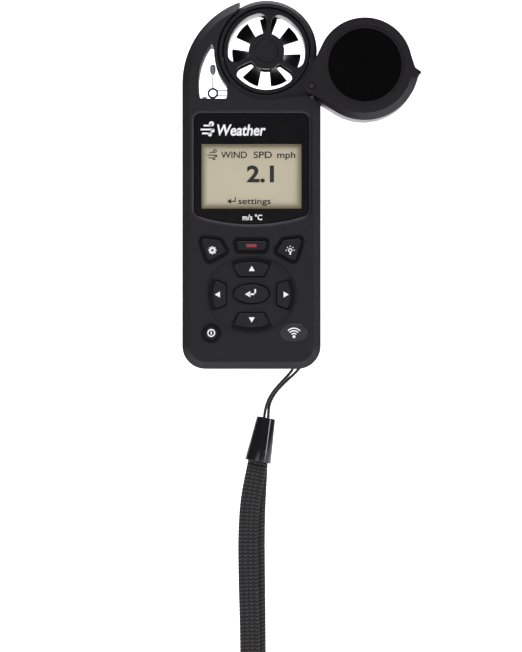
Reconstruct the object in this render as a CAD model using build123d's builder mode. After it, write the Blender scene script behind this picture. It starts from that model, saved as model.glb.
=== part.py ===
from build123d import *
import os
from math import atan2, cos, degrees, hypot, pi, radians, sin, tan

# Pocket weather meter: a two-shell case with keys, a display, an impeller in a ring at the top, a flip
# cover and a wrist lanyard. Millimetres. X to the right, Y to the back, Z up, held upright. The origin is
# where the palm holds it: GRIP_HEIGHT above the bottom end, at mid width and mid depth.
# Outlines are drawn as seen from the front, in X and in height above the bottom end.

os.makedirs("parts", exist_ok=True)

# Case
GRIP_HEIGHT = 42.0
HALF_WIDTH = 24.0
HALF_DEPTH = 13.0
CORNER_RADIUS = 8.0
FACE_SLOPE = 2.5
FACE_WALL = 1.8
INNER_HALF_WIDTH = 20.6
INNER_BOTTOM = 3.0
INNER_CORNER = 5.0
INNER_TOP = 90.6
INNER_HALF_DEPTH = HALF_DEPTH - FACE_WALL

# Fin that shields the sensor window
FIN_CENTRE = (6.0, 98.9)
FIN_RADIUS = 30.0
FIN_TIP_ANGLE = 109.47
WINDOW_OUTER_RADIUS = 24.4
WINDOW_BOTTOM = 93.6
WINDOW_RIGHT = -8.5

# Impeller and its ring
IMPELLER = (5.2, 110.2)
RING_RADIUS = 17.5
RING_HALF_DEPTH = 11.5
RING_SLOPE = 1.1
RING_SLOPE_DEPTH = 1.3
BORE_RADIUS = 15.3
BORE_INNER_RADIUS = 13.4
HOUSING_HALF_DEPTH = 10.4
SPOKE_START = 85.0
SPOKE_WIDTH = 1.7
SPOKE_DEPTH = 1.8
FIXED_HUB_RADIUS = 6.2
ENGRAVING_RADIUS = 14.0
ENGRAVING_SIZE = 1.25
ENGRAVING_LINE = 0.22
ENGRAVING_DEPTH = 0.25
BLADES = 7
BLADE_START = 86.5
BLADE_TIP_RADIUS = 12.0
BLADE_ROOT_RADIUS = 5.2
BLADE_HALF_DEPTH = 2.6
ROTOR_RADIUS = 5.6
AXLE_RADIUS = 0.4

# Flip cover, drawn along its own line from pivot to disc
PIVOT = (20.8, 98.0)
COVER_OPEN_ANGLE = 21.5
COVER_REACH = hypot(PIVOT[0] - IMPELLER[0], PIVOT[1] - IMPELLER[1])
COVER_HALF_DEPTH = 14.0
COVER_INNER_HALF_DEPTH = 12.0
DISC_RADIUS = 16.4
LOBE_RADIUS = 2.7
WALL_RADIUS = 19.0
WALL_LOBE_RADIUS = 3.2
WALL_THICKNESS = 1.0
WALL_SLOPE = 2.4
WALL_SLOPE_DEPTH = 3.0
CATCH_ANGLE = -28.8
CATCH_REACH = 19.9
PIVOT_PIN_RADIUS = 1.1
PIVOT_GAP = 0.06
RECESS_RADIUS = 17.0

# Keys
KEY_PROUD = 0.3
KEY_GAP = 0.4
WELL_BORDER = 1.35
ENTER_BORDER = 0.55
WELL_DEPTH = 0.7
KEY_FLANGE = 0.9
KEY_EDGE = 0.35
DISH = (0.0, 25.8)
DISH_HALF = (15.9, 13.6)
POWER_KEY = (-13.9, 12.5)
POWER_RADIUS = 2.2
ENTER_KEY = (0.0, 26.1)
ENTER_HALF = (6.1, 3.2)
BADGE = (14.7, 12.6)

# Display
LEDGE_DEPTH = 0.6
LEDGE_SLOPE = 0.85
LENS_HALF_WIDTH = 19.9
LENS_TOP = 88.5
LENS_BOTTOM = 53.6
LENS_BOW = 50.2
LENS_CORNER = 2.4
LCD_HALF_WIDTH = 18.6
LCD_HEIGHT = 28.0
LCD_MIDDLE = (0.0, 66.4)
LCD_HOLE_MIDDLE = (0.0, 66.7)
LCD_HOLE = (36.0, 23.8)
CARRIER = (39.6, 30.0)
CARRIER_HOLE = (36.0, 26.4)
BACKLIGHT_MIDDLE = (0.0, 67.5)
BACKLIGHT = (35.6, 23.6)
CONNECTOR_MIDDLE = (0.0, 54.3)
CONNECTOR = (31.0, 1.4)

# Board and battery
BOARD_FRONT = 7.8
BOARD_THICKNESS = 1.6
BOARD_MIDDLE = (0.0, 47.4)
BOARD = (39.4, 83.6)
BOARD_CORNER = 3.0
BATTERY_RADIUS = 7.2
BATTERY_LENGTH = 50.5
BATTERY_BOTTOM = 14.0
BATTERY_DEPTH = -3.3
BUTTON_RADIUS = 2.7
BUTTON_HEIGHT = 1.2
DOOR_HALF_WIDTH = 9.6
DOOR_BOTTOM = 9.0
DOOR_TOP = 72.0
DOOR_THICKNESS = 1.6
DOOR_GAP = 0.25
DOOR_LEDGE = 1.8
DOOR_SCREW = (0.0, 68.8)
SCREWS = [(-9.0, 6.2), (9.0, 6.2), (-17.2, 86.4), (17.2, 86.4)]
BOSS_RADIUS = 2.4

# Lanyard
BAR = (16.8, 3.3)
BAR_DEPTH = 6.5
BAR_RADIUS = 0.7
LOOP_CORD = 1.1
STRAP_WIDTH = 6.9
STRAP_THICKNESS = 1.3

# Walls, gaps and small features of the case
EAR_RADIUS = 2.9
EAR_HALF_DEPTH = 11.6
EAR_SWEEP = 4.05
LEDGE_BORDER = 0.25
LENS_BACK = 11.4
LENS_THICKNESS = 1.15
LENS_GAP = 0.1
DISH_DEPTH = 0.6
BADGE_DEPTH = 0.5
BADGE_PROUD = 0.15
BADGE_HALF = (4.9, 3.1)
SCREW_RADIUS = 1.0
SCREW_THREAD = 6.0
SCREW_HEAD_SEAT = 10.6
SCREW_HEAD_HEIGHT = 1.4
SCREW_HEAD_RADIUS = 1.8
CROSS_SLOT = (2.2, 0.5)
CROSS_DEPTH = 0.7
SEAL_OFFSET = 1.0
SEAL_WIDTH = 1.0
SEAL_DEPTH = 0.8
GROMMET = (-7.3, 96.1)
GROMMET_SIZE = 2.6
DOOR_SEAT = 11.0
DOOR_LEDGE_WIDTH = 1.6
DOOR_SCREW_RADIUS = 1.4
DOOR_SCREW_HEAD = 2.4
DOOR_SCREW_LENGTH = 5.5
RIBS = 5
RIB_HEIGHT = 8.0
RIB_SPACING = 2.2
RIB_LENGTH = 12.0
RIB_WIDTH = 1.0
RIB_PROUD = 0.35
DRIVER_SLOT = 0.8
DRIVER_SLOT_DEPTH = 0.5

# Pieces behind the display and the keys
LCD_BACK = 9.7
LCD_THICKNESS = 1.4
MAT_MIDDLE = (0.0, 28.6)
MAT = (39.6, 38.6)
MAT_CORNER = 1.5
MAT_BACK = 8.9
MAT_THICKNESS = 0.9
KEY_BACK = 10.5
KEY_FLANGE_THICKNESS = 0.6
PLUNGER_RADIUS = 1.2
PLUNGER_END = 9.1
DOME_RADIUS = 1.8
DOME_HEIGHT = 0.6
BAR_INLAY = 0.5
RED_BAR = (3.5, 1.1)
RED_BAR_CORNER = 0.2
RED_BAR_PROUD = 0.05

# Sensor in the window
COIL = (-13.5, 96.1)
COIL_RADIUS = 1.55
COIL_TURNS = 3
COIL_PITCH = 0.6
LEAD_RADIUS = 0.36
BEAD = (-13.5, 104.2)
BEAD_LENGTH = 3.8
BEAD_RADIUS = 1.0
LEAD_SPREAD = 0.9
WIRE_RADIUS = 0.21
HUMIDITY = (-16.4, WINDOW_BOTTOM + 0.6)
HUMIDITY_SIZE = (1.7, 1.2)
HUMIDITY_HALF_DEPTH = 0.8

# Battery tray
TRAY_WIDTH = 17.6
TRAY_FRONT = -4.9
TRAY_WALL = 0.8
TRAY_BOTTOM = 9.6
TRAY_TOP = 66.2
TRAY_DEPTH = 13.5
SPRING_WIRE = 0.3
SPRING_TURNS = 3
SPRING_RADIUS = 3.2
CONTACT = (8.0, 6.0, 0.4)

# Hubs, bearings and blades
HUB_BOSS_RADIUS = 4.4
HUB_BOSS_LENGTH = 4.4
HUB_CAP_RADIUS = 4.0
CAP_DEPTH = 0.4
BEARING_RADIUS = 1.2
BEARING_LENGTH = 1.2
AXLE_END = 4.2
AXLE_HALF_LENGTH = 7.0
BLADE_ROOT_HALF = 0.75
BLADE_TIP_HALF = 3.1
BLADE_THICKNESS = 0.7
ROTOR_HALF_DEPTH = 3.2

# Cover plates and pin
LIP_RADIUS = 13.8
LIP_DEPTH = 0.45
INSERT_RADIUS = 12.7
INSERT_DEPTH = 1.1
INSERT_THICKNESS = 0.3
PIN_HALF_LENGTH = 13.3

# Lanyard bar and bell
BAR_LENGTH = 7.6
POCKET_WIDTH = 5.8
POCKET_DEPTH = 6.0
POCKET_HEIGHT = 6.4
POCKET_WALL = 1.0
POCKET_MIDDLE = 16.5
BELL_TOP = (5.1, 5.6, -17.2)
BELL_BOTTOM = (2.2, 5.1, -32.6)
BELL_TOP_RADIUS = 3.35
BELL_BOTTOM_RADIUS = 4.7


def front(depth):
    """The drawing plane at a distance in front of the middle of the meter, its y being the height."""
    return Plane(origin=(0, -depth, -GRIP_HEIGHT), x_dir=(1, 0, 0), z_dir=(0, -1, 0))


def cover_plane(depth):
    """The drawing plane of the open cover: x runs from the pivot to the middle of its disc."""
    turn = radians(COVER_OPEN_ANGLE)
    pivot = (PIVOT[0], -depth, PIVOT[1] - GRIP_HEIGHT)
    return Plane(origin=pivot, x_dir=(cos(turn), 0, sin(turn)), z_dir=(0, -1, 0))


def around(centre, radius, angle):
    """The point at a radius and an angle, in degrees, from a centre."""
    return (centre[0] + radius * cos(radians(angle)), centre[1] + radius * sin(radians(angle)))


def save(piece, name):
    """Label a finished piece and write its file."""
    piece.part.label = name
    export_step(piece.part, f"parts/{name}.step")


# ---- Outlines ----

def case_outline():
    """The thick part of the case: bottom corners, shoulder under the cover, ring recess and fin."""
    low_left = (-HALF_WIDTH + CORNER_RADIUS, 0)
    low_right = (HALF_WIDTH - CORNER_RADIUS, 0)
    recess_start = around(IMPELLER, RECESS_RADIUS, -84)
    recess_end = around(IMPELLER, RECESS_RADIUS, 128)
    fin_tip = around(FIN_CENTRE, FIN_RADIUS, FIN_TIP_ANGLE)
    with BuildSketch() as outline:
        with BuildLine():
            Line(low_left, low_right)
            JernArc(start=low_right, tangent=(1, 0), radius=CORNER_RADIUS, arc_size=90)
            Polyline((HALF_WIDTH, CORNER_RADIUS), (HALF_WIDTH, 91.9), (19.4, 94.7), recess_start)
            ThreePointArc(recess_start, around(IMPELLER, RECESS_RADIUS, 198), recess_end)
            Line(recess_end, fin_tip)
            ThreePointArc(fin_tip, around(FIN_CENTRE, FIN_RADIUS, 145), (-HALF_WIDTH, FIN_CENTRE[1]))
            Line((-HALF_WIDTH, FIN_CENTRE[1]), (-HALF_WIDTH, CORNER_RADIUS))
            JernArc(start=(-HALF_WIDTH, CORNER_RADIUS), tangent=(0, -1), radius=CORNER_RADIUS, arc_size=90)
        make_face()
    return outline.sketch


def ring_outline():
    """The thinner top of the case that the cover closes over: ring, bridge and pivot ear."""
    with BuildSketch() as outline:
        with Locations(IMPELLER):
            Circle(RING_RADIUS)
        with BuildLine():
            Polyline((WINDOW_RIGHT, 88), (WINDOW_RIGHT, 104), IMPELLER, (22.6, IMPELLER[1]), (22.6, PIVOT[1]),
                     (20.6, 94.9), (19.6, 93.2), (19.6, 88), close=True)
        make_face()
    return outline.sketch


def window_outline():
    """The hole beside the ring where the temperature sensor stands in the wind."""
    with BuildSketch() as outline:
        with Locations(FIN_CENTRE):
            Circle(WINDOW_OUTER_RADIUS)
        with BuildLine():
            Polyline((-19.2, WINDOW_BOTTOM), (WINDOW_RIGHT, WINDOW_BOTTOM), (WINDOW_RIGHT, 100.5),
                     (-6, 126), (-19.2, 126), close=True)
        make_face(mode=Mode.INTERSECT)
        with Locations(IMPELLER):
            Circle(RING_RADIUS + 0.7, mode=Mode.SUBTRACT)
        fillet(outline.vertices(), radius=0.9)
    return outline.sketch


def wide_key(mirrored):
    """The kite-shaped key outline at the upper left, or its mirror image at the upper right."""
    side = -1 if mirrored else 1
    corners = [(-17.6, 45.3), (-11.1, 44.6), (-8.6, 40.7), (-15.0, 37.3)]
    with BuildSketch() as outline:
        with BuildLine():
            Polyline(*[(side * x, height) for x, height in corners], close=True)
        make_face()
        fillet(outline.vertices(), radius=1.0)
    return outline.sketch


def record_key():
    with BuildSketch() as outline:
        with BuildLine():
            Polyline((-5.3, 44.3), (5.3, 44.3), (4.5, 41.2), (-4.5, 41.2), close=True)
        make_face()
        fillet(outline.vertices(), radius=0.6)
    return outline.sketch


def arrow_key(inner, inner_half, outer, outer_half, crown):
    """An arrow key, drawn for the upper one: straight inner edge, curved outer edge."""
    with BuildSketch() as outline:
        with BuildLine():
            Polyline((outer_half, outer), (inner_half, inner), (-inner_half, inner), (-outer_half, outer))
            ThreePointArc((-outer_half, outer), (0, crown), (outer_half, outer))
        make_face()
        fillet(outline.vertices(), radius=0.8)
    return outline.sketch


def upright_arrow():
    return arrow_key(6.4, 4.3, 10.2, 6.3, 11.3)


def upright_well():
    return arrow_key(6.0, 4.8, 11.4, 7.3, 12.9)


def sideways_arrow():
    return arrow_key(8.8, 3.4, 12.4, 4.9, 13.5)


def sideways_well():
    return arrow_key(8.4, 3.9, 13.6, 5.8, 15.1)


def turned(sketch, angle):
    """An outline drawn about the middle of the dish, turned there and put in place."""
    with BuildSketch() as outline:
        with Locations(Location((DISH[0], DISH[1], 0), (0, 0, angle))):
            add(sketch)
    return outline.sketch


def enter_key(grow=0):
    with BuildSketch() as outline:
        with Locations(ENTER_KEY):
            Ellipse(ENTER_HALF[0] + grow, ENTER_HALF[1] + grow)
    return outline.sketch


def power_key():
    with BuildSketch() as outline:
        with Locations(POWER_KEY):
            Circle(POWER_RADIUS)
    return outline.sketch


KEYS = {
    "key_settings": (wide_key(False), (-13.1, 41.4)),
    "key_light": (wide_key(True), (13.1, 41.4)),
    "key_record": (record_key(), (0.0, 42.7)),
    "key_up": (turned(upright_arrow(), 0), (0.0, 35.0)),
    "key_down": (turned(upright_arrow(), 180), (0.0, 16.6)),
    "key_left": (turned(sideways_arrow(), 90), (-11.6, 25.8)),
    "key_right": (turned(sideways_arrow(), -90), (11.6, 25.8)),
    "key_enter": (enter_key(), ENTER_KEY),
    "key_power": (power_key(), POWER_KEY),
}


def key_outline(name, grow):
    """The outline of a key, or of a hole around it."""
    if name == "key_enter":
        return enter_key(grow)
    with BuildSketch() as outline:
        offset(KEYS[name][0], amount=grow, mode=Mode.ADD)
    return outline.sketch


def well_outline(name):
    """The sunk border round a key: even round the four outer keys, wide on the far side of an arrow key."""
    arrow_wells = {
        "key_up": (upright_well(), 0),
        "key_down": (upright_well(), 180),
        "key_left": (sideways_well(), 90),
        "key_right": (sideways_well(), -90),
    }
    if name in arrow_wells:
        return turned(*arrow_wells[name])
    if name == "key_enter":
        return enter_key(ENTER_BORDER)
    return key_outline(name, WELL_BORDER)


def lens_outline(grow):
    """The display lens, or the ledge around it: square top corners, bowed lower edge."""
    half = LENS_HALF_WIDTH + grow
    low = LENS_BOTTOM - grow
    with BuildSketch() as outline:
        with BuildLine():
            Polyline((half, low), (half, LENS_TOP + grow), (-half, LENS_TOP + grow), (-half, low))
            ThreePointArc((-half, low), (0, LENS_BOW - grow), (half, low))
        make_face()
        fillet(outline.vertices(), radius=LENS_CORNER + grow)
    return outline.sketch


def teardrop(disc, lobe):
    """The hull of the cover's disc and of its pivot lobe, in the cover's own plane."""
    with BuildSketch() as outline:
        with BuildLine():
            CenterArc((COVER_REACH, 0), disc, 0, 360)
            CenterArc((0, 0), lobe, 0, 360)
        make_hull()
    return outline.sketch


def wall_side():
    """The side of the cover that has the outer wall, from the pivot round to the thumb catch."""
    far = around((COVER_REACH, 0), 45, CATCH_ANGLE)
    with BuildSketch() as outline:
        with BuildLine():
            Polyline((-6, 0), (COVER_REACH, 0), far, (far[0], -50), (-6, -50), close=True)
        make_face()
    return outline.sketch


def mouth_side():
    """The open side of the cover, where the ring goes in."""
    far = around((COVER_REACH, 0), 45, CATCH_ANGLE)
    with BuildSketch() as outline:
        with BuildLine():
            Polyline((-8, 0), (COVER_REACH, 0), far, (far[0], 45), (-8, 45), close=True)
        make_face()
    return outline.sketch


def lcd_window():
    """The hole in the front wall through which the LCD shows."""
    with BuildSketch() as outline:
        with Locations(LCD_HOLE_MIDDLE):
            Rectangle(*LCD_HOLE)
    return outline.sketch


def inner_outline(grow):
    """The hollow of the case, or a loop around it."""
    height = INNER_TOP - INNER_BOTTOM
    with BuildSketch() as outline:
        with Locations((0, INNER_BOTTOM + height / 2)):
            RectangleRounded(2 * (INNER_HALF_WIDTH + grow), height + 2 * grow, INNER_CORNER + grow)
    return outline.sketch


def door_outline(grow):
    with BuildSketch() as outline:
        with Locations((0, (DOOR_BOTTOM + DOOR_TOP) / 2)):
            RectangleRounded(2 * (DOOR_HALF_WIDTH + grow), DOOR_TOP - DOOR_BOTTOM + 2 * grow, 2.0 + grow)
    return outline.sketch


def outer_rim(piece, side):
    """The edges round the outside of the case's front or rear face, without those round the cover."""
    face = piece.faces().sort_by(Axis.Y)[side]
    rim = []
    for edge in face.outer_wire().edges():
        middle = edge @ 0.5
        away = hypot(middle.X - FIN_CENTRE[0], middle.Z + GRIP_HEIGHT - FIN_CENTRE[1])
        if away > FIN_RADIUS - 0.5:
            rim.append(edge)
    return rim


# ---- Case ----

with BuildPart() as front_case:
    with BuildSketch(front(0)):
        add(case_outline())
    extrude(amount=HALF_DEPTH)
    chamfer(outer_rim(front_case, 0), length=FACE_SLOPE)
    with BuildSketch(front(0)):
        add(ring_outline())
    extrude(amount=RING_HALF_DEPTH - RING_SLOPE_DEPTH)
    with BuildSketch(front(RING_HALF_DEPTH - RING_SLOPE_DEPTH)):
        add(ring_outline())
    extrude(amount=RING_SLOPE_DEPTH, taper=degrees(atan2(RING_SLOPE, RING_SLOPE_DEPTH)))
    with BuildSketch(front(0)):
        with Locations(PIVOT):
            Circle(EAR_RADIUS)
    extrude(amount=EAR_HALF_DEPTH)
    # Hollow, with posts for the screws
    with BuildSketch(front(0)):
        add(inner_outline(0))
        with Locations(*SCREWS):
            Circle(BOSS_RADIUS, mode=Mode.SUBTRACT)
    extrude(amount=INNER_HALF_DEPTH, mode=Mode.SUBTRACT)
    # Bore for the impeller housing, and the sensor window
    with BuildSketch(front(0)):
        with Locations(IMPELLER):
            Circle(BORE_RADIUS)
        add(window_outline())
    extrude(amount=HALF_DEPTH, mode=Mode.SUBTRACT)
    # Ledge and pocket of the display lens, and the window behind it
    with BuildSketch(front(HALF_DEPTH - LEDGE_DEPTH)):
        add(lens_outline(LEDGE_BORDER))
    extrude(amount=LEDGE_DEPTH, taper=-degrees(atan2(LEDGE_SLOPE, LEDGE_DEPTH)), mode=Mode.SUBTRACT)
    with BuildSketch(front(LENS_BACK)):
        add(lens_outline(LENS_GAP))
    extrude(amount=HALF_DEPTH - LENS_BACK, mode=Mode.SUBTRACT)
    with BuildSketch(front(INNER_HALF_DEPTH - 1)):
        add(lcd_window())
    extrude(amount=HALF_DEPTH, mode=Mode.SUBTRACT)
    # Dish of the arrow keys
    with BuildSketch(front(HALF_DEPTH - DISH_DEPTH)):
        with Locations(DISH):
            Ellipse(*DISH_HALF)
    extrude(amount=DISH_DEPTH, mode=Mode.SUBTRACT)
    # A well and a hole for each key, and the seat of the badge
    with BuildSketch(front(HALF_DEPTH - DISH_DEPTH - WELL_DEPTH)):
        for name in KEYS:
            add(well_outline(name))
    extrude(amount=HALF_DEPTH, mode=Mode.SUBTRACT)
    with BuildSketch(front(INNER_HALF_DEPTH - 1)):
        for name in KEYS:
            add(key_outline(name, KEY_GAP))
    extrude(amount=HALF_DEPTH, mode=Mode.SUBTRACT)
    with BuildSketch(front(HALF_DEPTH - BADGE_DEPTH)):
        with Locations(BADGE):
            Ellipse(BADGE_HALF[0] + 0.1, BADGE_HALF[1] + 0.1)
    extrude(amount=BADGE_DEPTH, mode=Mode.SUBTRACT)
    # Screw threads, pivot pin and sensor grommet
    with BuildSketch(front(0)):
        with Locations(*SCREWS):
            Circle(SCREW_RADIUS)
    extrude(amount=SCREW_THREAD, mode=Mode.SUBTRACT)
    with BuildSketch(front(0)):
        with Locations(PIVOT):
            Circle(PIVOT_PIN_RADIUS)
    extrude(amount=HALF_DEPTH, mode=Mode.SUBTRACT)
    with BuildSketch(front(0)):
        with Locations(GROMMET):
            Rectangle(GROMMET_SIZE, GROMMET_SIZE)
    extrude(amount=GROMMET_SIZE / 2, mode=Mode.SUBTRACT)
save(front_case, "front_case")

with BuildPart() as rear_case:
    with BuildSketch(front(-HALF_DEPTH)):
        add(case_outline())
    extrude(amount=HALF_DEPTH)
    chamfer(outer_rim(rear_case, -1), length=FACE_SLOPE)
    with BuildSketch(front(0)):
        add(ring_outline())
    extrude(amount=-(RING_HALF_DEPTH - RING_SLOPE_DEPTH))
    with BuildSketch(front(-(RING_HALF_DEPTH - RING_SLOPE_DEPTH))):
        add(ring_outline())
    extrude(amount=-RING_SLOPE_DEPTH, taper=degrees(atan2(RING_SLOPE, RING_SLOPE_DEPTH)))
    with BuildSketch(front(0)):
        with Locations(PIVOT):
            Circle(EAR_RADIUS)
    extrude(amount=-EAR_HALF_DEPTH)
    # Hollow, with posts for the screws, a frame round the door and a pocket for the lanyard
    with BuildSketch(front(0)):
        add(inner_outline(0))
        with Locations(*SCREWS):
            Circle(BOSS_RADIUS, mode=Mode.SUBTRACT)
    extrude(amount=-INNER_HALF_DEPTH, mode=Mode.SUBTRACT)
    with BuildSketch(front(-DOOR_SEAT + DOOR_LEDGE)):
        add(door_outline(1.2))
    extrude(amount=-DOOR_LEDGE)
    with BuildSketch(front(-DOOR_SEAT)):
        add(door_outline(DOOR_GAP))
    extrude(amount=-HALF_DEPTH, mode=Mode.SUBTRACT)
    with BuildSketch(front(-DOOR_SEAT + DOOR_LEDGE)):
        add(door_outline(-DOOR_LEDGE_WIDTH))
        with Locations(DOOR_SCREW):
            Circle(BOSS_RADIUS + 0.6, mode=Mode.SUBTRACT)
    extrude(amount=-HALF_DEPTH, mode=Mode.SUBTRACT)
    with BuildSketch(front(-DOOR_SEAT)):
        with Locations(DOOR_SCREW):
            Circle(BOSS_RADIUS)
    extrude(amount=DOOR_SCREW_LENGTH)
    with BuildSketch(front(-DOOR_SEAT)):
        with Locations(DOOR_SCREW):
            Circle(DOOR_SCREW_RADIUS + 0.06)
    extrude(amount=DOOR_SCREW_LENGTH, mode=Mode.SUBTRACT)
    with BuildSketch(front(-BAR_DEPTH + POCKET_DEPTH / 2 + POCKET_WALL)):
        add(case_outline())
        with Locations((POCKET_MIDDLE, (POCKET_HEIGHT + POCKET_WALL) / 2)):
            Rectangle(POCKET_WIDTH + 2 * POCKET_WALL, POCKET_HEIGHT + POCKET_WALL, mode=Mode.INTERSECT)
    extrude(amount=-POCKET_DEPTH - 2 * POCKET_WALL)
    with Locations((POCKET_MIDDLE, BAR_DEPTH, POCKET_HEIGHT / 2 - GRIP_HEIGHT)):
        Box(POCKET_WIDTH, POCKET_DEPTH, POCKET_HEIGHT, mode=Mode.SUBTRACT)
    with BuildSketch(front(-BAR_DEPTH + BAR_LENGTH / 2)):
        with Locations(BAR):
            Circle(BAR_RADIUS)
    extrude(amount=-BAR_LENGTH, mode=Mode.SUBTRACT)
    # Bore for the impeller housing, and the sensor window
    with BuildSketch(front(0)):
        with Locations(IMPELLER):
            Circle(BORE_RADIUS)
        add(window_outline())
    extrude(amount=-HALF_DEPTH, mode=Mode.SUBTRACT)
    # Groove of the case seal, screw holes, pivot pin and sensor grommet
    with BuildSketch(front(0)):
        add(inner_outline(SEAL_OFFSET + SEAL_WIDTH))
        add(inner_outline(SEAL_OFFSET), mode=Mode.SUBTRACT)
    extrude(amount=-SEAL_DEPTH, mode=Mode.SUBTRACT)
    with BuildSketch(front(0)):
        with Locations(*SCREWS):
            Circle(SCREW_RADIUS + 0.1)
        with Locations(PIVOT):
            Circle(PIVOT_PIN_RADIUS)
    extrude(amount=-HALF_DEPTH, mode=Mode.SUBTRACT)
    with BuildSketch(front(-SCREW_HEAD_SEAT)):
        with Locations(*SCREWS):
            Circle(SCREW_HEAD_RADIUS + 0.15)
    extrude(amount=-HALF_DEPTH, mode=Mode.SUBTRACT)
    with BuildSketch(front(0)):
        with Locations(GROMMET):
            Rectangle(GROMMET_SIZE, GROMMET_SIZE)
    extrude(amount=-GROMMET_SIZE / 2, mode=Mode.SUBTRACT)
save(rear_case, "rear_case")

with BuildPart() as case_seal:
    with BuildSketch(front(0)):
        add(inner_outline(SEAL_OFFSET + SEAL_WIDTH - 0.05))
        add(inner_outline(SEAL_OFFSET + 0.05), mode=Mode.SUBTRACT)
    extrude(amount=-SEAL_DEPTH + 0.05)
save(case_seal, "case_seal")

with BuildPart() as case_screws:
    with BuildSketch(front(-SCREW_HEAD_SEAT - SCREW_HEAD_HEIGHT)):
        with Locations(*SCREWS):
            Circle(SCREW_HEAD_RADIUS)
    extrude(amount=SCREW_HEAD_HEIGHT)
    with BuildSketch(front(-SCREW_HEAD_SEAT)):
        with Locations(*SCREWS):
            Circle(SCREW_RADIUS)
    extrude(amount=SCREW_HEAD_SEAT + SCREW_THREAD - 0.5)
    with BuildSketch(front(-SCREW_HEAD_SEAT - SCREW_HEAD_HEIGHT)):
        with Locations(*SCREWS):
            Rectangle(*CROSS_SLOT)
            Rectangle(*reversed(CROSS_SLOT))
    extrude(amount=CROSS_DEPTH, mode=Mode.SUBTRACT)
save(case_screws, "case_screws")

# ---- Display ----

with BuildPart() as display_lens:
    with BuildSketch(front(LENS_BACK)):
        add(lens_outline(0))
    extrude(amount=LENS_THICKNESS)
    chamfer(display_lens.faces().sort_by(Axis.Y)[0].edges(), length=0.2)
save(display_lens, "display_lens")

with BuildPart() as lcd_glass:
    with BuildSketch(front(LCD_BACK)):
        with Locations(LCD_MIDDLE):
            Rectangle(2 * LCD_HALF_WIDTH, LCD_HEIGHT)
    extrude(amount=LCD_THICKNESS)
save(lcd_glass, "lcd_glass")

with BuildPart() as lcd_carrier:
    with BuildSketch(front(BOARD_FRONT)):
        with Locations(LCD_MIDDLE):
            Rectangle(*CARRIER)
            Rectangle(*CARRIER_HOLE, mode=Mode.SUBTRACT)
    extrude(amount=LCD_BACK - BOARD_FRONT)
save(lcd_carrier, "lcd_carrier")

with BuildPart() as backlight:
    with BuildSketch(front(BOARD_FRONT + 0.2)):
        with Locations(BACKLIGHT_MIDDLE):
            Rectangle(*BACKLIGHT)
    extrude(amount=LCD_BACK - BOARD_FRONT - 0.3)
save(backlight, "backlight")

with BuildPart() as lcd_connector:
    with BuildSketch(front(BOARD_FRONT)):
        with Locations(CONNECTOR_MIDDLE):
            Rectangle(*CONNECTOR)
    extrude(amount=LCD_BACK - BOARD_FRONT)
save(lcd_connector, "lcd_connector")

# ---- Keys ----

with BuildPart() as keypad_mat:
    with BuildSketch(front(MAT_BACK)):
        with Locations(MAT_MIDDLE):
            RectangleRounded(*MAT, MAT_CORNER)
        for outline, centre in KEYS.values():
            with Locations(centre):
                Circle(PLUNGER_RADIUS + 0.4, mode=Mode.SUBTRACT)
    extrude(amount=MAT_THICKNESS)
save(keypad_mat, "keypad_mat")

with BuildPart() as key_domes:
    with BuildSketch(front(BOARD_FRONT)):
        for outline, centre in KEYS.values():
            with Locations(centre):
                Circle(DOME_RADIUS)
    extrude(amount=DOME_HEIGHT, taper=40)
save(key_domes, "key_domes")

for name, (outline, centre) in KEYS.items():
    with BuildPart() as key_cap:
        with BuildSketch(front(KEY_BACK)):
            add(key_outline(name, KEY_FLANGE))
        extrude(amount=KEY_FLANGE_THICKNESS)
        with BuildSketch(front(KEY_BACK)):
            add(outline)
        extrude(amount=HALF_DEPTH + KEY_PROUD - KEY_BACK)
        top = key_cap.faces().sort_by(Axis.Y)[0]
        fillet(top.edges(), radius=KEY_EDGE)
        with BuildSketch(front(PLUNGER_END)):
            with Locations(centre):
                Circle(PLUNGER_RADIUS)
        extrude(amount=KEY_BACK - PLUNGER_END)
        if name == "key_record":
            with BuildSketch(front(HALF_DEPTH + KEY_PROUD - BAR_INLAY)):
                with Locations(centre):
                    Rectangle(RED_BAR[0] + 0.1, RED_BAR[1] + 0.1)
            extrude(amount=2 * BAR_INLAY, mode=Mode.SUBTRACT)
    save(key_cap, name)

with BuildPart() as record_bar:
    with BuildSketch(front(HALF_DEPTH + KEY_PROUD - BAR_INLAY)):
        with Locations(KEYS["key_record"][1]):
            RectangleRounded(*RED_BAR, RED_BAR_CORNER)
    extrude(amount=BAR_INLAY + RED_BAR_PROUD)
save(record_bar, "record_bar")

with BuildPart() as badge:
    with BuildSketch(front(HALF_DEPTH - BADGE_DEPTH)):
        with Locations(BADGE):
            Ellipse(*BADGE_HALF)
    extrude(amount=BADGE_DEPTH + BADGE_PROUD)
    chamfer(badge.faces().sort_by(Axis.Y)[0].edges(), length=0.12)
save(badge, "badge")

# ---- Board ----

with BuildPart() as main_board:
    with BuildSketch(front(BOARD_FRONT - BOARD_THICKNESS)):
        with Locations(BOARD_MIDDLE):
            RectangleRounded(*BOARD, BOARD_CORNER)
        with Locations(*SCREWS):
            Circle(BOSS_RADIUS + 0.4, mode=Mode.SUBTRACT)
    extrude(amount=BOARD_THICKNESS)
save(main_board, "main_board")

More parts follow.
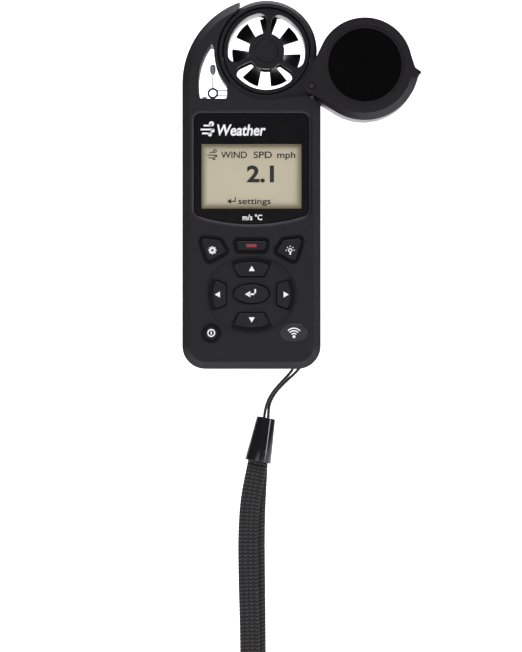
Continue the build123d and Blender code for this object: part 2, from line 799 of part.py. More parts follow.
BOARD_PARTS = {
    "processor": ((14.0, 60.0), (7.0, 7.0), 1.0),
    "radio_module": ((14.0, 14.0), (8.0, 11.0), 1.8),
    "pressure_sensor": ((-14.0, 80.0), (3.6, 3.6), 1.2),
    "rotation_sensor": ((5.2, 86.4), (4.0, 3.0), 1.5),
}
for name, (centre, size, height) in BOARD_PARTS.items():
    with BuildPart() as component:
        with BuildSketch(front(BOARD_FRONT - BOARD_THICKNESS)):
            with Locations(centre):
                Rectangle(*size)
        extrude(amount=-height)
        chamfer(component.faces().sort_by(Axis.Y)[-1].edges(), length=0.15)
    save(component, name)

with BuildPart() as humidity_sensor:
    with BuildSketch(front(-HUMIDITY_HALF_DEPTH)):
        with Locations(HUMIDITY):
            Rectangle(*HUMIDITY_SIZE)
    extrude(amount=2 * HUMIDITY_HALF_DEPTH)
    chamfer(humidity_sensor.edges().filter_by(Axis.Y), length=0.2)
save(humidity_sensor, "humidity_sensor")

# ---- Temperature sensor on its coiled lead ----

with BuildPart() as sensor_grommet:
    with BuildSketch(front(GROMMET_SIZE / 2 - 0.05)):
        with Locations(GROMMET):
            Rectangle(GROMMET_SIZE - 0.1, GROMMET_SIZE - 0.1)
    extrude(amount=-GROMMET_SIZE + 0.1)
save(sensor_grommet, "sensor_grommet")

with BuildPart() as sensor_lead:
    for turn in range(COIL_TURNS):
        depth = (turn - (COIL_TURNS - 1) / 2) * COIL_PITCH
        with Locations(front(depth) * Location((COIL[0], COIL[1], 0))):
            Torus(COIL_RADIUS, LEAD_RADIUS)
    for wire_height in (COIL[1] - LEAD_SPREAD, COIL[1] + LEAD_SPREAD):
        start = COIL[0] + (COIL_RADIUS ** 2 - LEAD_SPREAD ** 2) ** 0.5
        wire_end = GROMMET[0] - GROMMET_SIZE / 2 + 0.05
        with BuildSketch(Plane.YZ.offset(start)):
            with Locations((0, wire_height - GRIP_HEIGHT)):
                Circle(WIRE_RADIUS)
        extrude(amount=wire_end - start)
    with BuildSketch(Plane.XY.offset(COIL[1] + COIL_RADIUS - GRIP_HEIGHT)):
        with Locations((COIL[0], 0)):
            Circle(WIRE_RADIUS)
    extrude(amount=BEAD[1] - BEAD_LENGTH / 2 - COIL[1] - COIL_RADIUS)
save(sensor_lead, "sensor_lead")

with BuildPart() as temperature_bead:
    with BuildSketch(Plane(origin=(COIL[0], 0, BEAD[1] - GRIP_HEIGHT), x_dir=(1, 0, 0), z_dir=(0, -1, 0))):
        with BuildLine():
            Spline((0, -BEAD_LENGTH / 2), (BEAD_RADIUS, BEAD_LENGTH * 0.15), (0, BEAD_LENGTH / 2),
                   tangents=((1, 0.6), (-1, 0)))
            Line((0, BEAD_LENGTH / 2), (0, -BEAD_LENGTH / 2))
        make_face()
    revolve(axis=Axis((COIL[0], 0, 0), (0, 0, 1)))
save(temperature_bead, "temperature_bead")

# ---- Battery ----

with BuildPart() as battery:
    with BuildSketch(Plane.XY.offset(BATTERY_BOTTOM - GRIP_HEIGHT)):
        with Locations((0, -BATTERY_DEPTH)):
            Circle(BATTERY_RADIUS)
    extrude(amount=BATTERY_LENGTH - BUTTON_HEIGHT)
    fillet(battery.edges().filter_by(GeomType.CIRCLE), radius=0.5)
    with BuildSketch(battery.faces().sort_by(Axis.Z)[-1]):
        Circle(BUTTON_RADIUS)
    extrude(amount=BUTTON_HEIGHT)
save(battery, "battery")

with BuildPart() as battery_tray:
    with Locations((0, TRAY_FRONT + TRAY_WALL / 2, (TRAY_BOTTOM + TRAY_TOP) / 2 - GRIP_HEIGHT)):
        Box(TRAY_WIDTH, TRAY_WALL, TRAY_TOP - TRAY_BOTTOM)
    for height in (TRAY_BOTTOM + TRAY_WALL / 2, TRAY_TOP - TRAY_WALL / 2):
        with Locations((0, TRAY_FRONT + TRAY_DEPTH / 2, height - GRIP_HEIGHT)):
            Box(TRAY_WIDTH, TRAY_DEPTH, TRAY_WALL)
save(battery_tray, "battery_tray")

with BuildPart() as battery_contact:
    with Locations((0, -BATTERY_DEPTH, TRAY_TOP - TRAY_WALL - CONTACT[2] / 2 - GRIP_HEIGHT)):
        Box(*CONTACT)
save(battery_contact, "battery_contact")

with BuildPart() as battery_spring:
    spring_bottom = TRAY_BOTTOM + TRAY_WALL + SPRING_WIRE
    spring_height = BATTERY_BOTTOM - spring_bottom - SPRING_WIRE
    with BuildLine(Plane.XY.offset(spring_bottom - GRIP_HEIGHT)) as spring_line:
        with Locations((0, -BATTERY_DEPTH)):
            Helix(pitch=spring_height / SPRING_TURNS, height=spring_height, radius=SPRING_RADIUS)
    with BuildSketch(Plane(origin=spring_line.edge() @ 0, z_dir=spring_line.edge() % 0)):
        Circle(SPRING_WIRE)
    sweep(path=spring_line.edge(), is_frenet=True)
save(battery_spring, "battery_spring")

with BuildPart() as battery_door:
    with BuildSketch(front(-HALF_DEPTH)):
        add(door_outline(0))
    extrude(amount=DOOR_THICKNESS)
    chamfer(battery_door.faces().sort_by(Axis.Y)[-1].edges(), length=0.4)
    with BuildSketch(front(-HALF_DEPTH)):
        with Locations(DOOR_SCREW):
            Circle(DOOR_SCREW_HEAD + 0.15)
    extrude(amount=DOOR_THICKNESS - 0.5, mode=Mode.SUBTRACT)
    with BuildSketch(front(-HALF_DEPTH)):
        with Locations(DOOR_SCREW):
            Circle(DOOR_SCREW_RADIUS + 0.08)
    extrude(amount=DOOR_THICKNESS, mode=Mode.SUBTRACT)
    # Finger ribs at the lower end
    with BuildSketch(front(-HALF_DEPTH)):
        with Locations((0, DOOR_BOTTOM + RIB_HEIGHT)):
            with GridLocations(RIB_LENGTH, RIB_SPACING, 1, RIBS):
                SlotOverall(RIB_LENGTH, RIB_WIDTH)
    extrude(amount=-RIB_PROUD)
save(battery_door, "battery_door")

with BuildPart() as door_seal:
    with BuildSketch(front(-DOOR_SEAT)):
        add(door_outline(-0.2))
        add(door_outline(-1.2), mode=Mode.SUBTRACT)
    extrude(amount=-(HALF_DEPTH - DOOR_THICKNESS - DOOR_SEAT))
save(door_seal, "door_seal")

with BuildPart() as door_screw:
    with BuildSketch(front(-HALF_DEPTH + 0.1)):
        with Locations(DOOR_SCREW):
            Circle(DOOR_SCREW_HEAD)
    extrude(amount=0.9)
    with BuildSketch(front(-HALF_DEPTH + 1.0)):
        with Locations(DOOR_SCREW):
            Circle(DOOR_SCREW_RADIUS)
    extrude(amount=DOOR_SCREW_LENGTH)
    with BuildSketch(front(-HALF_DEPTH + 0.1)):
        with Locations(DOOR_SCREW):
            Rectangle(2 * DOOR_SCREW_HEAD, DRIVER_SLOT)
    extrude(amount=DRIVER_SLOT_DEPTH, mode=Mode.SUBTRACT)
save(door_screw, "door_screw")

# ---- Impeller ----

def spokes():
    """The hub and three spokes that hold a bearing, with wide roots at the ring."""
    with BuildSketch() as outline:
        with Locations(IMPELLER):
            Circle(BORE_INNER_RADIUS + 1.0)
            Circle(BORE_INNER_RADIUS, mode=Mode.SUBTRACT)
            Circle(FIXED_HUB_RADIUS)
        for spoke in range(3):
            angle = SPOKE_START + 120 * spoke
            with Locations(Location((*around(IMPELLER, 10, angle), 0), (0, 0, angle))):
                Rectangle(8.0, SPOKE_WIDTH)
        corners = outline.vertices().filter_by(
            lambda corner: 13 < hypot(corner.X - IMPELLER[0], corner.Y - IMPELLER[1]) < 14)
        fillet(corners, radius=2.6)
        corners = outline.vertices().filter_by(
            lambda corner: hypot(corner.X - IMPELLER[0], corner.Y - IMPELLER[1]) < FIXED_HUB_RADIUS + 0.3)
        fillet(corners, radius=0.8)
    return outline.sketch


with BuildPart() as impeller_housing:
    with BuildSketch(front(-HOUSING_HALF_DEPTH)):
        with Locations(IMPELLER):
            Circle(BORE_RADIUS - 0.05)
            Circle(BORE_INNER_RADIUS, mode=Mode.SUBTRACT)
    extrude(amount=2 * HOUSING_HALF_DEPTH)
    with BuildSketch(front(HOUSING_HALF_DEPTH - SPOKE_DEPTH)):
        add(spokes())
    extrude(amount=SPOKE_DEPTH)
    with BuildSketch(front(HOUSING_HALF_DEPTH - SPOKE_DEPTH)):
        with Locations(IMPELLER):
            Circle(HUB_BOSS_RADIUS)
    extrude(amount=-HUB_BOSS_LENGTH)
    with BuildSketch(front(HOUSING_HALF_DEPTH - SPOKE_DEPTH - HUB_BOSS_LENGTH)):
        with Locations(IMPELLER):
            Circle(BEARING_RADIUS)
    extrude(amount=BEARING_LENGTH, mode=Mode.SUBTRACT)
    with BuildSketch(front(HOUSING_HALF_DEPTH - SPOKE_DEPTH - HUB_BOSS_LENGTH)):
        with Locations(IMPELLER):
            Circle(AXLE_RADIUS + 0.2)
    extrude(amount=AXLE_HALF_LENGTH - AXLE_END, mode=Mode.SUBTRACT)
    with BuildSketch(front(HOUSING_HALF_DEPTH - CAP_DEPTH)):
        with Locations(IMPELLER):
            Circle(HUB_CAP_RADIUS + 0.05)
    extrude(amount=CAP_DEPTH, mode=Mode.SUBTRACT)
    # Engraved arrow above the top spoke
    with BuildSketch(front(HOUSING_HALF_DEPTH - ENGRAVING_DEPTH)):
        with Locations(Location((*around(IMPELLER, ENGRAVING_RADIUS, SPOKE_START), 0), (0, 0, SPOKE_START))):
            RegularPolygon(ENGRAVING_SIZE, 3, rotation=180)
            RegularPolygon(ENGRAVING_SIZE - 2 * ENGRAVING_LINE, 3, rotation=180, mode=Mode.SUBTRACT)
    extrude(amount=ENGRAVING_DEPTH, mode=Mode.SUBTRACT)
    # Step for the rear spoke wheel, and a soft front edge
    with BuildSketch(front(-HOUSING_HALF_DEPTH)):
        with Locations(IMPELLER):
            Circle(BORE_INNER_RADIUS + 1.05)
    extrude(amount=SPOKE_DEPTH + 0.05, mode=Mode.SUBTRACT)
    front_edges = impeller_housing.faces().sort_by(Axis.Y)[0].outer_wire().edges()
    chamfer(front_edges, length=0.5)
save(impeller_housing, "impeller_housing")

with BuildPart() as rear_spokes:
    with BuildSketch(front(-HOUSING_HALF_DEPTH)):
        add(spokes())
    extrude(amount=SPOKE_DEPTH)
    with BuildSketch(front(-HOUSING_HALF_DEPTH + SPOKE_DEPTH)):
        with Locations(IMPELLER):
            Circle(HUB_BOSS_RADIUS)
    extrude(amount=HUB_BOSS_LENGTH)
    with BuildSketch(front(-HOUSING_HALF_DEPTH + SPOKE_DEPTH + HUB_BOSS_LENGTH)):
        with Locations(IMPELLER):
            Circle(BEARING_RADIUS)
    extrude(amount=-BEARING_LENGTH, mode=Mode.SUBTRACT)
    with BuildSketch(front(-HOUSING_HALF_DEPTH + SPOKE_DEPTH + HUB_BOSS_LENGTH)):
        with Locations(IMPELLER):
            Circle(AXLE_RADIUS + 0.2)
    extrude(amount=-(AXLE_HALF_LENGTH - AXLE_END), mode=Mode.SUBTRACT)
    with BuildSketch(front(-HOUSING_HALF_DEPTH + CAP_DEPTH)):
        with Locations(IMPELLER):
            Circle(HUB_CAP_RADIUS + 0.05)
    extrude(amount=-CAP_DEPTH, mode=Mode.SUBTRACT)
save(rear_spokes, "rear_spokes")

with BuildPart() as hub_caps:
    for cap_side in (1, -1):
        with BuildSketch(front(cap_side * (HOUSING_HALF_DEPTH - CAP_DEPTH))):
            with Locations(IMPELLER):
                Circle(HUB_CAP_RADIUS)
        extrude(amount=cap_side * (CAP_DEPTH + 0.15), taper=12)
save(hub_caps, "hub_caps")

with BuildPart() as jewel_bearings:
    for jewel_side in (1, -1):
        with BuildSketch(front(jewel_side * AXLE_END)):
            with Locations(IMPELLER):
                Circle(BEARING_RADIUS)
                Circle(AXLE_RADIUS + 0.05, mode=Mode.SUBTRACT)
        extrude(amount=jewel_side * BEARING_LENGTH)
save(jewel_bearings, "jewel_bearings")

with BuildPart() as impeller_axle:
    with BuildSketch(front(-AXLE_HALF_LENGTH)):
        with Locations(IMPELLER):
            Circle(AXLE_RADIUS)
    extrude(amount=2 * AXLE_HALF_LENGTH)
save(impeller_axle, "impeller_axle")

with BuildPart() as impeller:
    for blade in range(BLADES):
        angle = BLADE_START + 360 * blade / BLADES
        outward = Vector(cos(radians(angle)), 0, sin(radians(angle)))
        across = Vector(-sin(radians(angle)), 0, cos(radians(angle)))
        middle = Vector(IMPELLER[0], 0, IMPELLER[1] - GRIP_HEIGHT)
        for radius, half_span in ((BLADE_ROOT_RADIUS, BLADE_ROOT_HALF), (BLADE_TIP_RADIUS + 0.3, BLADE_TIP_HALF)):
            chord = across * half_span + Vector(0, BLADE_HALF_DEPTH, 0)
            with BuildSketch(Plane(origin=middle + outward * radius, x_dir=chord.normalized(), z_dir=outward)):
                Rectangle(2 * chord.length, BLADE_THICKNESS)
        loft()
    with BuildSketch(front(-ROTOR_HALF_DEPTH)):
        with Locations(IMPELLER):
            Circle(ROTOR_RADIUS)
    extrude(amount=2 * ROTOR_HALF_DEPTH)
    with BuildSketch(front(-HALF_DEPTH)):
        with Locations(IMPELLER):
            Circle(BLADE_TIP_RADIUS)
            Circle(AXLE_RADIUS, mode=Mode.SUBTRACT)
    extrude(amount=2 * HALF_DEPTH, mode=Mode.INTERSECT)
save(impeller, "impeller")

# ---- Flip cover ----

SLOPE_ANGLE = degrees(atan2(WALL_SLOPE, WALL_SLOPE_DEPTH))
WALL_BODY_HALF = COVER_HALF_DEPTH - WALL_SLOPE_DEPTH
CAVITY_SLOPE_DEPTH = 1.35
CAVITY_BODY_HALF = COVER_INNER_HALF_DEPTH - CAVITY_SLOPE_DEPTH
DISC = (COVER_REACH, 0)

with BuildPart() as cover_wall:
    with BuildSketch(cover_plane(-WALL_BODY_HALF)):
        add(teardrop(WALL_RADIUS, WALL_LOBE_RADIUS))
    extrude(amount=2 * WALL_BODY_HALF)
    for wall_face in (1, -1):
        with BuildSketch(cover_plane(wall_face * WALL_BODY_HALF)):
            add(teardrop(WALL_RADIUS, WALL_LOBE_RADIUS))
        extrude(amount=wall_face * WALL_SLOPE_DEPTH, taper=SLOPE_ANGLE)
    with BuildSketch(cover_plane(-COVER_HALF_DEPTH)):
        add(wall_side())
    extrude(amount=2 * COVER_HALF_DEPTH, mode=Mode.INTERSECT)

with BuildPart() as cover_hollow:
    inner_disc = WALL_RADIUS - WALL_THICKNESS
    inner_lobe = WALL_LOBE_RADIUS - WALL_THICKNESS
    with BuildSketch(cover_plane(-CAVITY_BODY_HALF)):
        add(teardrop(inner_disc, inner_lobe))
    extrude(amount=2 * CAVITY_BODY_HALF)
    for hollow_face in (1, -1):
        with BuildSketch(cover_plane(hollow_face * CAVITY_BODY_HALF)):
            add(teardrop(inner_disc, inner_lobe))
        extrude(amount=hollow_face * CAVITY_SLOPE_DEPTH, taper=SLOPE_ANGLE)
    with BuildSketch(cover_plane(-COVER_INNER_HALF_DEPTH)):
        add(mouth_side())
        Circle(EAR_SWEEP)
    extrude(amount=2 * COVER_INNER_HALF_DEPTH)

with BuildPart() as cover_shell:
    with BuildSketch(cover_plane(-COVER_HALF_DEPTH)):
        add(teardrop(DISC_RADIUS, LOBE_RADIUS))
        with BuildLine():
            Polyline(DISC, around(DISC, DISC_RADIUS, 2.5), around(DISC, 17.5, -24.5),
                     around(DISC, CATCH_REACH, CATCH_ANGLE), around(DISC, WALL_RADIUS - 1, -36), close=True)
        make_face()
    extrude(amount=2 * COVER_HALF_DEPTH)
    add(cover_wall.part)
    add(cover_hollow.part, mode=Mode.SUBTRACT)
    for plate in (1, -1):
        with BuildSketch(cover_plane(plate * (COVER_HALF_DEPTH - LIP_DEPTH))):
            with Locations(DISC):
                Circle(LIP_RADIUS)
        extrude(amount=plate * LIP_DEPTH, mode=Mode.SUBTRACT)
        with BuildSketch(cover_plane(plate * (COVER_HALF_DEPTH - INSERT_DEPTH))):
            with Locations(DISC):
                Circle(INSERT_RADIUS)
        extrude(amount=plate * INSERT_DEPTH, mode=Mode.SUBTRACT)
    with BuildSketch(cover_plane(-COVER_HALF_DEPTH)):
        Circle(PIVOT_PIN_RADIUS + PIVOT_GAP)
    extrude(amount=2 * COVER_HALF_DEPTH, mode=Mode.SUBTRACT)
save(cover_shell, "cover_shell")

for name, plate in (("cover_front_disc", 1), ("cover_rear_disc", -1)):
    with BuildPart() as cover_disc:
        with BuildSketch(cover_plane(plate * (COVER_HALF_DEPTH - INSERT_DEPTH))):
            with Locations(DISC):
                Circle(INSERT_RADIUS)
        extrude(amount=plate * INSERT_THICKNESS)
    save(cover_disc, name)

with BuildPart() as cover_pivot_pin:
    with BuildSketch(front(-PIN_HALF_LENGTH)):
        with Locations(PIVOT):
            Circle(PIVOT_PIN_RADIUS)
    extrude(amount=2 * PIN_HALF_LENGTH)
    chamfer(cover_pivot_pin.edges().filter_by(GeomType.CIRCLE), length=0.2)
save(cover_pivot_pin, "cover_pivot_pin")

# ---- Lanyard ----

def bends(points):
    """The largest tangent arc at each corner of a route, held back from its neighbours."""
    radii = []
    for before, corner, after in zip(points, points[1:], points[2:]):
        incoming = Vector(*corner) - Vector(*before)
        outgoing = Vector(*after) - Vector(*corner)
        half_turn = radians(incoming.get_angle(outgoing)) / 2
        radii.append(0.45 * min(incoming.length, outgoing.length) / tan(half_turn))
    return radii


def from_bottom(points):
    """Route points given by their height above the bottom end, in the meter's own frame."""
    return [(x, y, height - GRIP_HEIGHT) for x, y, height in points]


LOOP_ROUTE = from_bottom([
    (4.4, 5.6, -17.2), (4.9, 5.4, -13.0), (7.2, 5.5, -8.4), (10.8, 5.8, -4.4), (14.2, 6.2, -0.8), (15.5, 6.5, 2.2),
    (15.5, 6.5, 4.6), (18.1, 6.5, 4.6), (18.1, 6.6, 2.0), (15.6, 6.9, -1.4), (11.4, 7.0, -5.0), (7.9, 6.8, -8.9),
    (5.8, 6.5, -13.3), (5.9, 5.6, -17.2),
])
STRAP_ROUTE = from_bottom([
    (2.3, 4.2, -32.0), (1.0, 3.9, -38.0), (-0.6, 3.8, -46.5), (-1.3, 3.8, -58.0), (-1.2, 3.7, -72.0),
    (-0.7, 3.8, -88.0), (-0.5, 3.4, -104.0), (-0.2, 0.6, -121.0), (0.1, -4.6, -137.0), (0.3, -8.6, -152.0),
    (0.5, -8.8, -166.0), (0.6, -3.5, -177.5), (0.7, 5.0, -181.5), (0.8, 13.5, -177.5), (0.9, 18.8, -166.0),
    (1.0, 18.6, -152.0), (1.2, 14.6, -137.0), (1.4, 9.4, -121.0), (1.6, 6.6, -104.0), (1.5, 6.2, -88.0),
    (1.3, 6.3, -72.0), (1.2, 6.2, -58.0), (1.5, 6.2, -46.5), (2.0, 6.1, -38.0), (2.3, 6.0, -32.0),
])

with BuildPart() as lanyard_bar:
    with BuildSketch(front(-BAR_DEPTH + BAR_LENGTH / 2)):
        with Locations(BAR):
            Circle(BAR_RADIUS)
    extrude(amount=-BAR_LENGTH)
save(lanyard_bar, "lanyard_bar")

with BuildPart() as lanyard_loop:
    loop_radii = bends(LOOP_ROUTE)
    with BuildLine() as loop_line:
        FilletPolyline(*LOOP_ROUTE, radius=loop_radii)
    with BuildSketch(Plane(origin=loop_line.line @ 0, z_dir=loop_line.line % 0)):
        Circle(LOOP_CORD / 2)
    sweep(path=loop_line.wire())
save(lanyard_loop, "lanyard_loop")
print("loop radii", [round(radius, 1) for radius in loop_radii])
print("loop length", round(loop_line.wire().length, 1), "volume / (section * length)",
      round(lanyard_loop.part.volume / (pi * LOOP_CORD ** 2 / 4 * loop_line.wire().length), 3))

with BuildPart() as strap:
    strap_radii = bends(STRAP_ROUTE)
    with BuildLine() as strap_line:
        FilletPolyline(*STRAP_ROUTE, radius=strap_radii)
    start_plane = Plane(origin=strap_line.line @ 0, x_dir=(1, 0, 0), z_dir=strap_line.line % 0)
    with BuildSketch(start_plane):
        Rectangle(STRAP_WIDTH, STRAP_THICKNESS)
    sweep(path=strap_line.wire())
save(strap, "strap")
print("strap radii", [round(radius, 1) for radius in strap_radii])
print("strap length", round(strap_line.wire().length, 1), "volume / (section * length)",
      round(strap.part.volume / (STRAP_WIDTH * STRAP_THICKNESS * strap_line.wire().length), 3))

with BuildPart() as bell:
    bell_top = Vector(*BELL_TOP) - Vector(0, 0, GRIP_HEIGHT)
    bell_bottom = Vector(*BELL_BOTTOM) - Vector(0, 0, GRIP_HEIGHT)
    bell_axis = (bell_bottom - bell_top).normalized()
    bell_length = (bell_bottom - bell_top).length
    with BuildSketch(Plane(origin=bell_top, x_dir=(1, 0, 0), z_dir=bell_axis)):
        Circle(BELL_TOP_RADIUS)
    with BuildSketch(Plane(origin=bell_bottom, x_dir=(1, 0, 0), z_dir=bell_axis)):
        Circle(BELL_BOTTOM_RADIUS)
    loft()
save(bell, "bell")
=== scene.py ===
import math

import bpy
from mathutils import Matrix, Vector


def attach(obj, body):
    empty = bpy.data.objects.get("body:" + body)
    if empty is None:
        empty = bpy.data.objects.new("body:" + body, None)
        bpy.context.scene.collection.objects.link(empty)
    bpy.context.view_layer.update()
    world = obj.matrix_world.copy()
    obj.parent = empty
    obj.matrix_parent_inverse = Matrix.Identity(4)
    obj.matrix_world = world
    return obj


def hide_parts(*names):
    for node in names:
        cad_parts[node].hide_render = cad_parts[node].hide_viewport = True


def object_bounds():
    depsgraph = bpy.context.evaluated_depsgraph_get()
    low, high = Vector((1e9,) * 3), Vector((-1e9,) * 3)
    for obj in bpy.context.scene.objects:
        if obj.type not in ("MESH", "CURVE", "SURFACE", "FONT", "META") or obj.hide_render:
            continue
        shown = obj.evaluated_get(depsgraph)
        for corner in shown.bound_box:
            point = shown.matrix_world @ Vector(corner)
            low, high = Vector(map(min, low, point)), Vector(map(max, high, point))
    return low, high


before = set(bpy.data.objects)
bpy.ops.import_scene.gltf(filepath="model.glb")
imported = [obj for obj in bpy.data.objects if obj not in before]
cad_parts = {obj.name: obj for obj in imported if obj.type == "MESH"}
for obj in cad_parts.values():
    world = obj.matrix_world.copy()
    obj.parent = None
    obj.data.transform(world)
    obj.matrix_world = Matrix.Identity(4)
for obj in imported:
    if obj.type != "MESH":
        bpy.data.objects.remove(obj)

# %% [markdown]
# # A pocket weather meter
# The meter is held upright, its front towards -Y, with the flip cover open and a wrist strap hanging
# under it. The CAD nodes already have their true shapes and places, so this script makes the light, the
# camera, the finishes, the printed marks, and the soft parts that CAD only blocked in. First come the
# tools that every later cell uses, and the box of the CAD model.

CAD_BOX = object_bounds()
MM = 0.001
GRIP_HEIGHT = 42 * MM
FACE = -13 * MM


def at(x, height, y=0.0):
    """A point given in millimetres: across, above the bottom end of the case, and behind its middle."""
    return Vector((x * MM, y * MM, height * MM - GRIP_HEIGHT))


print("CAD box in mm:", [[round(v / MM, 1) for v in corner] for corner in CAD_BOX])

# %% [markdown]
# ## Camera, floor and light
# A long lens 1.5 m in front of the meter keeps its sides parallel, as in a catalogue picture. The
# lens sits level with the lower part of the meter, so it looks slightly up at the cover and shows the
# underside of its wall. The floor and the wall behind are one pale colour. A dark plastic object shows
# its shape by what it mirrors, so the lights are soft panels: a large one above in front, one over the
# top, a weak one below, and a tall narrow strip at the right for a line of light on the glossy bell.

# %% Camera
CAMERA_HEIGHT = 14.9
CAMERA_DISTANCE = 1500 * MM
VERTICAL_ANGLE = math.radians(8.6)

camera_data = bpy.data.cameras.new("camera")
camera_data.sensor_fit = "VERTICAL"
camera_data.angle = VERTICAL_ANGLE
camera_data.clip_start = 0.01
camera = bpy.data.objects.new("camera", camera_data)
bpy.context.scene.collection.objects.link(camera)
camera.location = at(3.3, CAMERA_HEIGHT) + Vector((0, FACE - CAMERA_DISTANCE, 0))
camera.rotation_euler = (math.radians(90), 0, 0)
bpy.context.scene.camera = camera
print("camera", tuple(round(v, 3) for v in camera.location))

# %% Floor, wall and lights
FLOOR_DROP = 12 * MM


def deselect():
    """Nothing selected, so that the next operator acts on the next piece only."""
    if bpy.context.mode != "OBJECT":
        bpy.ops.object.mode_set(mode="OBJECT")
    bpy.ops.object.select_all(action="DESELECT")


def pale_plane(name, location, rotation, size):
    deselect()
    bpy.ops.mesh.primitive_plane_add(size=size, location=location, rotation=rotation)
    plane = bpy.context.active_object
    plane.name = name
    return plane


def panel(name, location, target, size, power):
    """A soft light panel at a place, turned to face a target."""
    data = bpy.data.lights.new(name, "AREA")
    data.shape = "RECTANGLE"
    data.size, data.size_y = size
    data.energy = power
    light = bpy.data.objects.new(name, data)
    bpy.context.scene.collection.objects.link(light)
    light.location = location
    light.rotation_euler = (Vector(target) - Vector(location)).to_track_quat("-Z", "Y").to_euler()
    return light


floor_height = CAD_BOX[0][2] - FLOOR_DROP
floor = pale_plane("floor", (0, 0, floor_height), (0, 0, 0), 8)
wall = pale_plane("wall", (0, 1.6, 1.5), (math.radians(90), 0, 0), 8)
panel("key_light", (-0.15, -0.95, 0.95), (0.0, 0, 0.03), (0.7, 0.6), 8)
panel("strip_light", (0.88, -0.47, 0.02), (0.01, 0, 0.0), (0.1, 1.0), 4.5)
panel("top_light", (0.05, -0.1, 1.1), (0.0, 0, 0.05), (0.8, 0.6), 9)
panel("low_light", (-0.2, -0.9, -0.14), (0.0, 0, -0.03), (0.5, 0.2), 0.7)
panel("wall_light", (0, 0.55, 1.3), (0, 1.6, 0.1), (2.0, 0.6), 60)
world = bpy.data.worlds.new("studio")
bpy.context.scene.world = world
world.use_nodes = True
world.node_tree.nodes["Background"].inputs["Color"].default_value = (0.95, 0.96, 1.0, 1)
world.node_tree.nodes["Background"].inputs["Strength"].default_value = 0.12
bpy.context.scene.view_settings.view_transform = "Standard"
print("floor at", round(floor_height / MM, 1), "mm")

# %% [markdown]
# ## Lanyard loop, bell and wrist strap
# The lanyard is a thin braided cord that goes through a steel bar in the case's lower corner and back
# into a glossy bell. A flat woven strap, folded over into a loop for the wrist, is held in the bell's
# lower end. Both follow a smooth NURBS curve whose control points are the route of the CAD tube. A plain
# bevelled curve would be a smooth tube, but yarn has relief that catches the light, so each is a tube
# mesh: rings of points walk along the curve, and a small formula lifts the braid or the ribs.

# %% Routes
# across, behind and above the bottom end, in millimetres
LOOP_ROUTE = [
    (4.4, 5.6, -17.2), (4.9, 5.4, -13.0), (7.2, 5.5, -8.4), (10.8, 5.8, -4.4), (14.2, 6.2, -0.8),
    (15.5, 6.5, 2.2), (15.5, 6.5, 4.6), (18.1, 6.5, 4.6), (18.1, 6.6, 2.0), (15.6, 6.9, -1.4),
    (11.4, 7.0, -5.0), (7.9, 6.8, -8.9), (5.8, 6.5, -13.3), (5.9, 5.6, -17.2),
]
STRAP_ROUTE = [
    (2.3, 4.2, -32.0), (1.0, 3.9, -38.0), (-0.6, 3.8, -46.5), (-1.3, 3.8, -58.0), (-1.2, 3.7, -72.0),
    (-0.7, 3.8, -88.0), (-0.5, 3.4, -104.0), (-0.2, 0.6, -121.0), (0.1, -4.6, -137.0), (0.3, -8.6, -152.0),
    (0.5, -8.8, -166.0), (0.6, -3.5, -177.5), (0.7, 5.0, -181.5), (0.8, 13.5, -177.5), (0.9, 18.8, -166.0),
    (1.0, 18.6, -152.0), (1.2, 14.6, -137.0), (1.4, 9.4, -121.0), (1.6, 6.6, -104.0), (1.5, 6.2, -88.0),
    (1.3, 6.3, -72.0), (1.2, 6.2, -58.0), (1.5, 6.2, -46.5), (2.0, 6.1, -38.0), (2.3, 6.0, -32.0),
]
LANYARD_BAR = (16.8, 6.5, 3.3)


def place(point):
    """A route point in metres."""
    across, behind, height = point
    return at(across, height, behind)


def route_line(route, name):
    """The points of a smooth curve that has the route's points as its control points."""
    data = bpy.data.curves.new(name, "CURVE")
    data.dimensions = "3D"
    data.resolution_u = 40
    spline = data.splines.new("NURBS")
    spline.points.add(len(route) - 1)
    for control, point in zip(spline.points, route):
        control.co = (*place(point), 1)
    spline.order_u = 3
    spline.use_endpoint_u = True
    curve = bpy.data.objects.new(name, data)
    bpy.context.scene.collection.objects.link(curve)
    line = bpy.data.meshes.new_from_object(curve)
    points = [vertex.co.copy() for vertex in line.vertices]
    bpy.data.meshes.remove(line)
    bpy.data.objects.remove(curve)
    return points


def walk(points, step):
    """Places at equal steps along a line of points, each with its distance and its direction."""
    reach = [0.0]
    for first, second in zip(points, points[1:]):
        reach.append(reach[-1] + (second - first).length)
    count = round(reach[-1] / step)
    stations = []
    segment = 0
    for index in range(count + 1):
        distance = reach[-1] * index / count
        while segment < len(points) - 2 and reach[segment + 1] < distance:
            segment += 1
        first, second = points[segment], points[segment + 1]
        share = (distance - reach[segment]) / max(reach[segment + 1] - reach[segment], 1e-9)
        stations.append([first.lerp(second, share), distance, None])
    for index, station in enumerate(stations):
        before = stations[max(index - 2, 0)][0]
        after = stations[min(index + 2, count)][0]
        station[2] = (after - before).normalized()
    return stations


